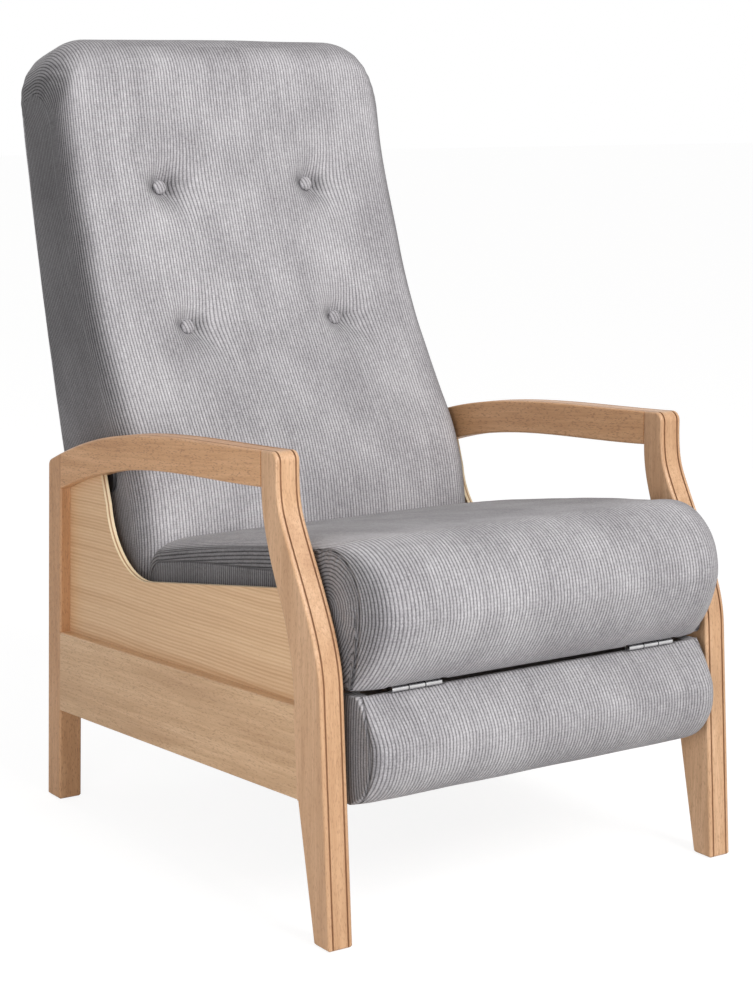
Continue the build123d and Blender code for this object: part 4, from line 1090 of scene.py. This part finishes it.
def make_sheet(name, node, body, normal_axis, seed):
    """A thin cloth stretched where a flat cloth solid lies, with slight waves."""
    low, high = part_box(node)
    first, second = [axis for axis in range(3) if axis != normal_axis]
    columns, rows = 72, 36
    points = np.zeros((rows, columns, 3))
    points[:, :, first] = np.linspace(low[first], high[first], columns)[None, :]
    points[:, :, second] = np.linspace(low[second], high[second], rows)[:, None]
    points[:, :, normal_axis] = (low[normal_axis] + high[normal_axis]) / 2
    points = points.reshape(-1, 3)
    waves = smooth_noise(points, SHEET_WAVE, seed) * SHEET_WAVE_SHARE
    points[:, normal_axis] += waves * (high[normal_axis] - low[normal_axis])
    faces = [(r * columns + c, r * columns + c + 1, (r + 1) * columns + c + 1, (r + 1) * columns + c)
             for r in range(rows - 1) for c in range(columns - 1)]
    piece = make_piece(name, points, faces, BLACK_CLOTH)
    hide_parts(node)
    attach(piece, body)


def make_floor():
    """A wide level floor under the chair."""
    r = FLOOR_REACH
    mesh = bpy.data.meshes.new("floor")
    mesh.from_pydata([(-r, -r, 0), (r, -r, 0), (r, r, 0), (-r, r, 0)], [], [(0, 1, 2, 3)])
    mesh.update()
    mesh.materials.append(pale_floor())
    in_scene("floor", mesh)


def make_world():
    """White behind the object and in its reflections, and a soft even light on it."""
    world = bpy.data.worlds.new("studio")
    bpy.context.scene.world = world
    world.use_nodes = True
    world.node_tree.nodes.clear()
    g = Graph(world.node_tree)
    seen = g.node("ShaderNodeBackground")
    g.feed(seen, {"Color": (1, 1, 1, 1), "Strength": 1.0})
    lit = g.node("ShaderNodeBackground")
    g.feed(lit, {"Color": (1.0, 0.99, 0.98, 1), "Strength": WORLD_LIGHT})
    path = g.node("ShaderNodeLightPath").outputs
    mirrored = g.math("MAXIMUM", path["Is Glossy Ray"], path["Is Transmission Ray"])
    chosen = g.node("ShaderNodeMixShader")
    g.put(chosen.inputs[0], g.math("MAXIMUM", path["Is Camera Ray"], mirrored))
    g.put(chosen.inputs[1], lit.outputs[0])
    g.put(chosen.inputs[2], seen.outputs[0])
    g.put(g.node("ShaderNodeOutputWorld").inputs["Surface"], chosen.outputs[0])


def area_light(name, place, target, side, power, colour):
    """A square soft lamp that faces a point."""
    data = bpy.data.lights.new(name, "AREA")
    data.shape = "RECTANGLE"
    data.size = data.size_y = side
    data.energy = power
    data.color = colour
    lamp = in_scene(name, data)
    lamp.location = place
    lamp.rotation_euler = (Vector(target) - Vector(place)).to_track_quat("-Z", "Y").to_euler()


def make_camera():
    """The photograph's viewing angle."""
    data = bpy.data.cameras.new("camera")
    data.sensor_width = CAMERA_SENSOR
    data.lens = CAMERA_LENS
    data.shift_y = CAMERA_SHIFT
    data.clip_start, data.clip_end = CAMERA_CLIP
    camera = in_scene("camera", data)
    camera.location = CAMERA_PLACE
    camera.rotation_euler = (math.radians(90 - CAMERA_FALL), 0, math.radians(CAMERA_SWING))
    bpy.context.scene.camera = camera


FABRIC = corduroy()
BLACK_CLOTH = plain_cloth()
make_sheet("seat_felt_sheet", "seat_felt", "seat", normal_axis=2, seed=31)
make_sheet("footrest_cover_sheet", "footrest_cover", "footrest", normal_axis=1,
           seed=32)
make_back()
make_buttons()
make_seat()
make_footrest()

# Materials of the CAD pieces that stay
POST_WOOD = wood("beech_post", "z", (0.95, 0.92, 0.94), marks=0.65, grooves=True)
REAR_WOOD = wood("beech_rear_post", "z", (0.90, 0.80, 0.74))
ARM_WOOD = wood("beech_arm", "y", (0.95, 0.84, 0.75), slope=0.10, grooves=True)
RAIL_WOOD = wood("beech_rail", "y", (1.0, 1.03, 1.05), slope=0.056, marks=0.7)
PANEL_WOOD = veneer()
SAWN = (0.86, 0.86, 0.86)
CROSS_WOOD = wood("sawn_wood_across", "x", SAWN, marks=0.5)
LONG_WOOD = wood("sawn_wood_along", "y", SAWN, marks=0.5)
TALL_WOOD = wood("sawn_wood_tall", "z", SAWN, marks=0.5)
# Painted shade: the seat's front rail and the footrest board are made nearly black, as they lie in the shade
# of the gap between seat and footrest
GAP_SHADE_WOOD = wood("wood_in_gap_shade", "x", (0.045, 0.055, 0.08), marks=0.1)
BRIGHT = metal("zinc_plated_steel", (0.78, 0.78, 0.79), rough=0.22, splits=KNUCKLE_SPLITS)
BLACK_STEEL = metal("black_painted_steel", (0.030, 0.030, 0.033), rough=0.42, metallic=0.0, scale=250.0)
SCREW_STEEL = metal("screw_steel", (0.50, 0.49, 0.47), rough=0.35)
PLASTIC = plastic("glide_plastic", (0.035, 0.035, 0.036))

REPLACED = ("seat_cushion", "back_cushion", "footrest_cushion", "back_rear_cover", "back_buttons",
            "seat_felt", "footrest_cover")

# The first row with a word that a node's name holds gives its material, and the last row takes the rest
FINISHES = (
    (POST_WOOD, ("front_leg",)),
    (REAR_WOOD, ("rear_leg",)),
    (ARM_WOOD, ("_arm",)),
    (RAIL_WOOD, ("side_rail",)),
    (PANEL_WOOD, ("side_panel",)),
    (GAP_SHADE_WOOD, ("seat_front_rail", "footrest_board")),
    (CROSS_WOOD, ("stretcher", "seat_rear_rail", "back_top_rail", "back_middle_rail", "back_bottom_rail")),
    (LONG_WOOD, ("runner", "left_seat_rail", "right_seat_rail", "frame_dowels")),
    (TALL_WOOD, ("stile", "back_board")),
    (BLACK_CLOTH, ("back_straps",)),
    (BRIGHT, ("hinge_leaves", "hinge_pins")),
    (SCREW_STEEL, ("screws",)),
    (PLASTIC, ("glides",)),
    (BLACK_STEEL, ("",)),
)
for node in NODES:
    if node not in REPLACED:
        paint_node(node, next(finish for finish, words in FINISHES if any(word in node for word in words)))

make_floor()
make_world()
for name, lamp in LAMPS.items():
    area_light(name, *lamp)
make_camera()
bpy.context.scene.view_settings.view_transform = "Standard"
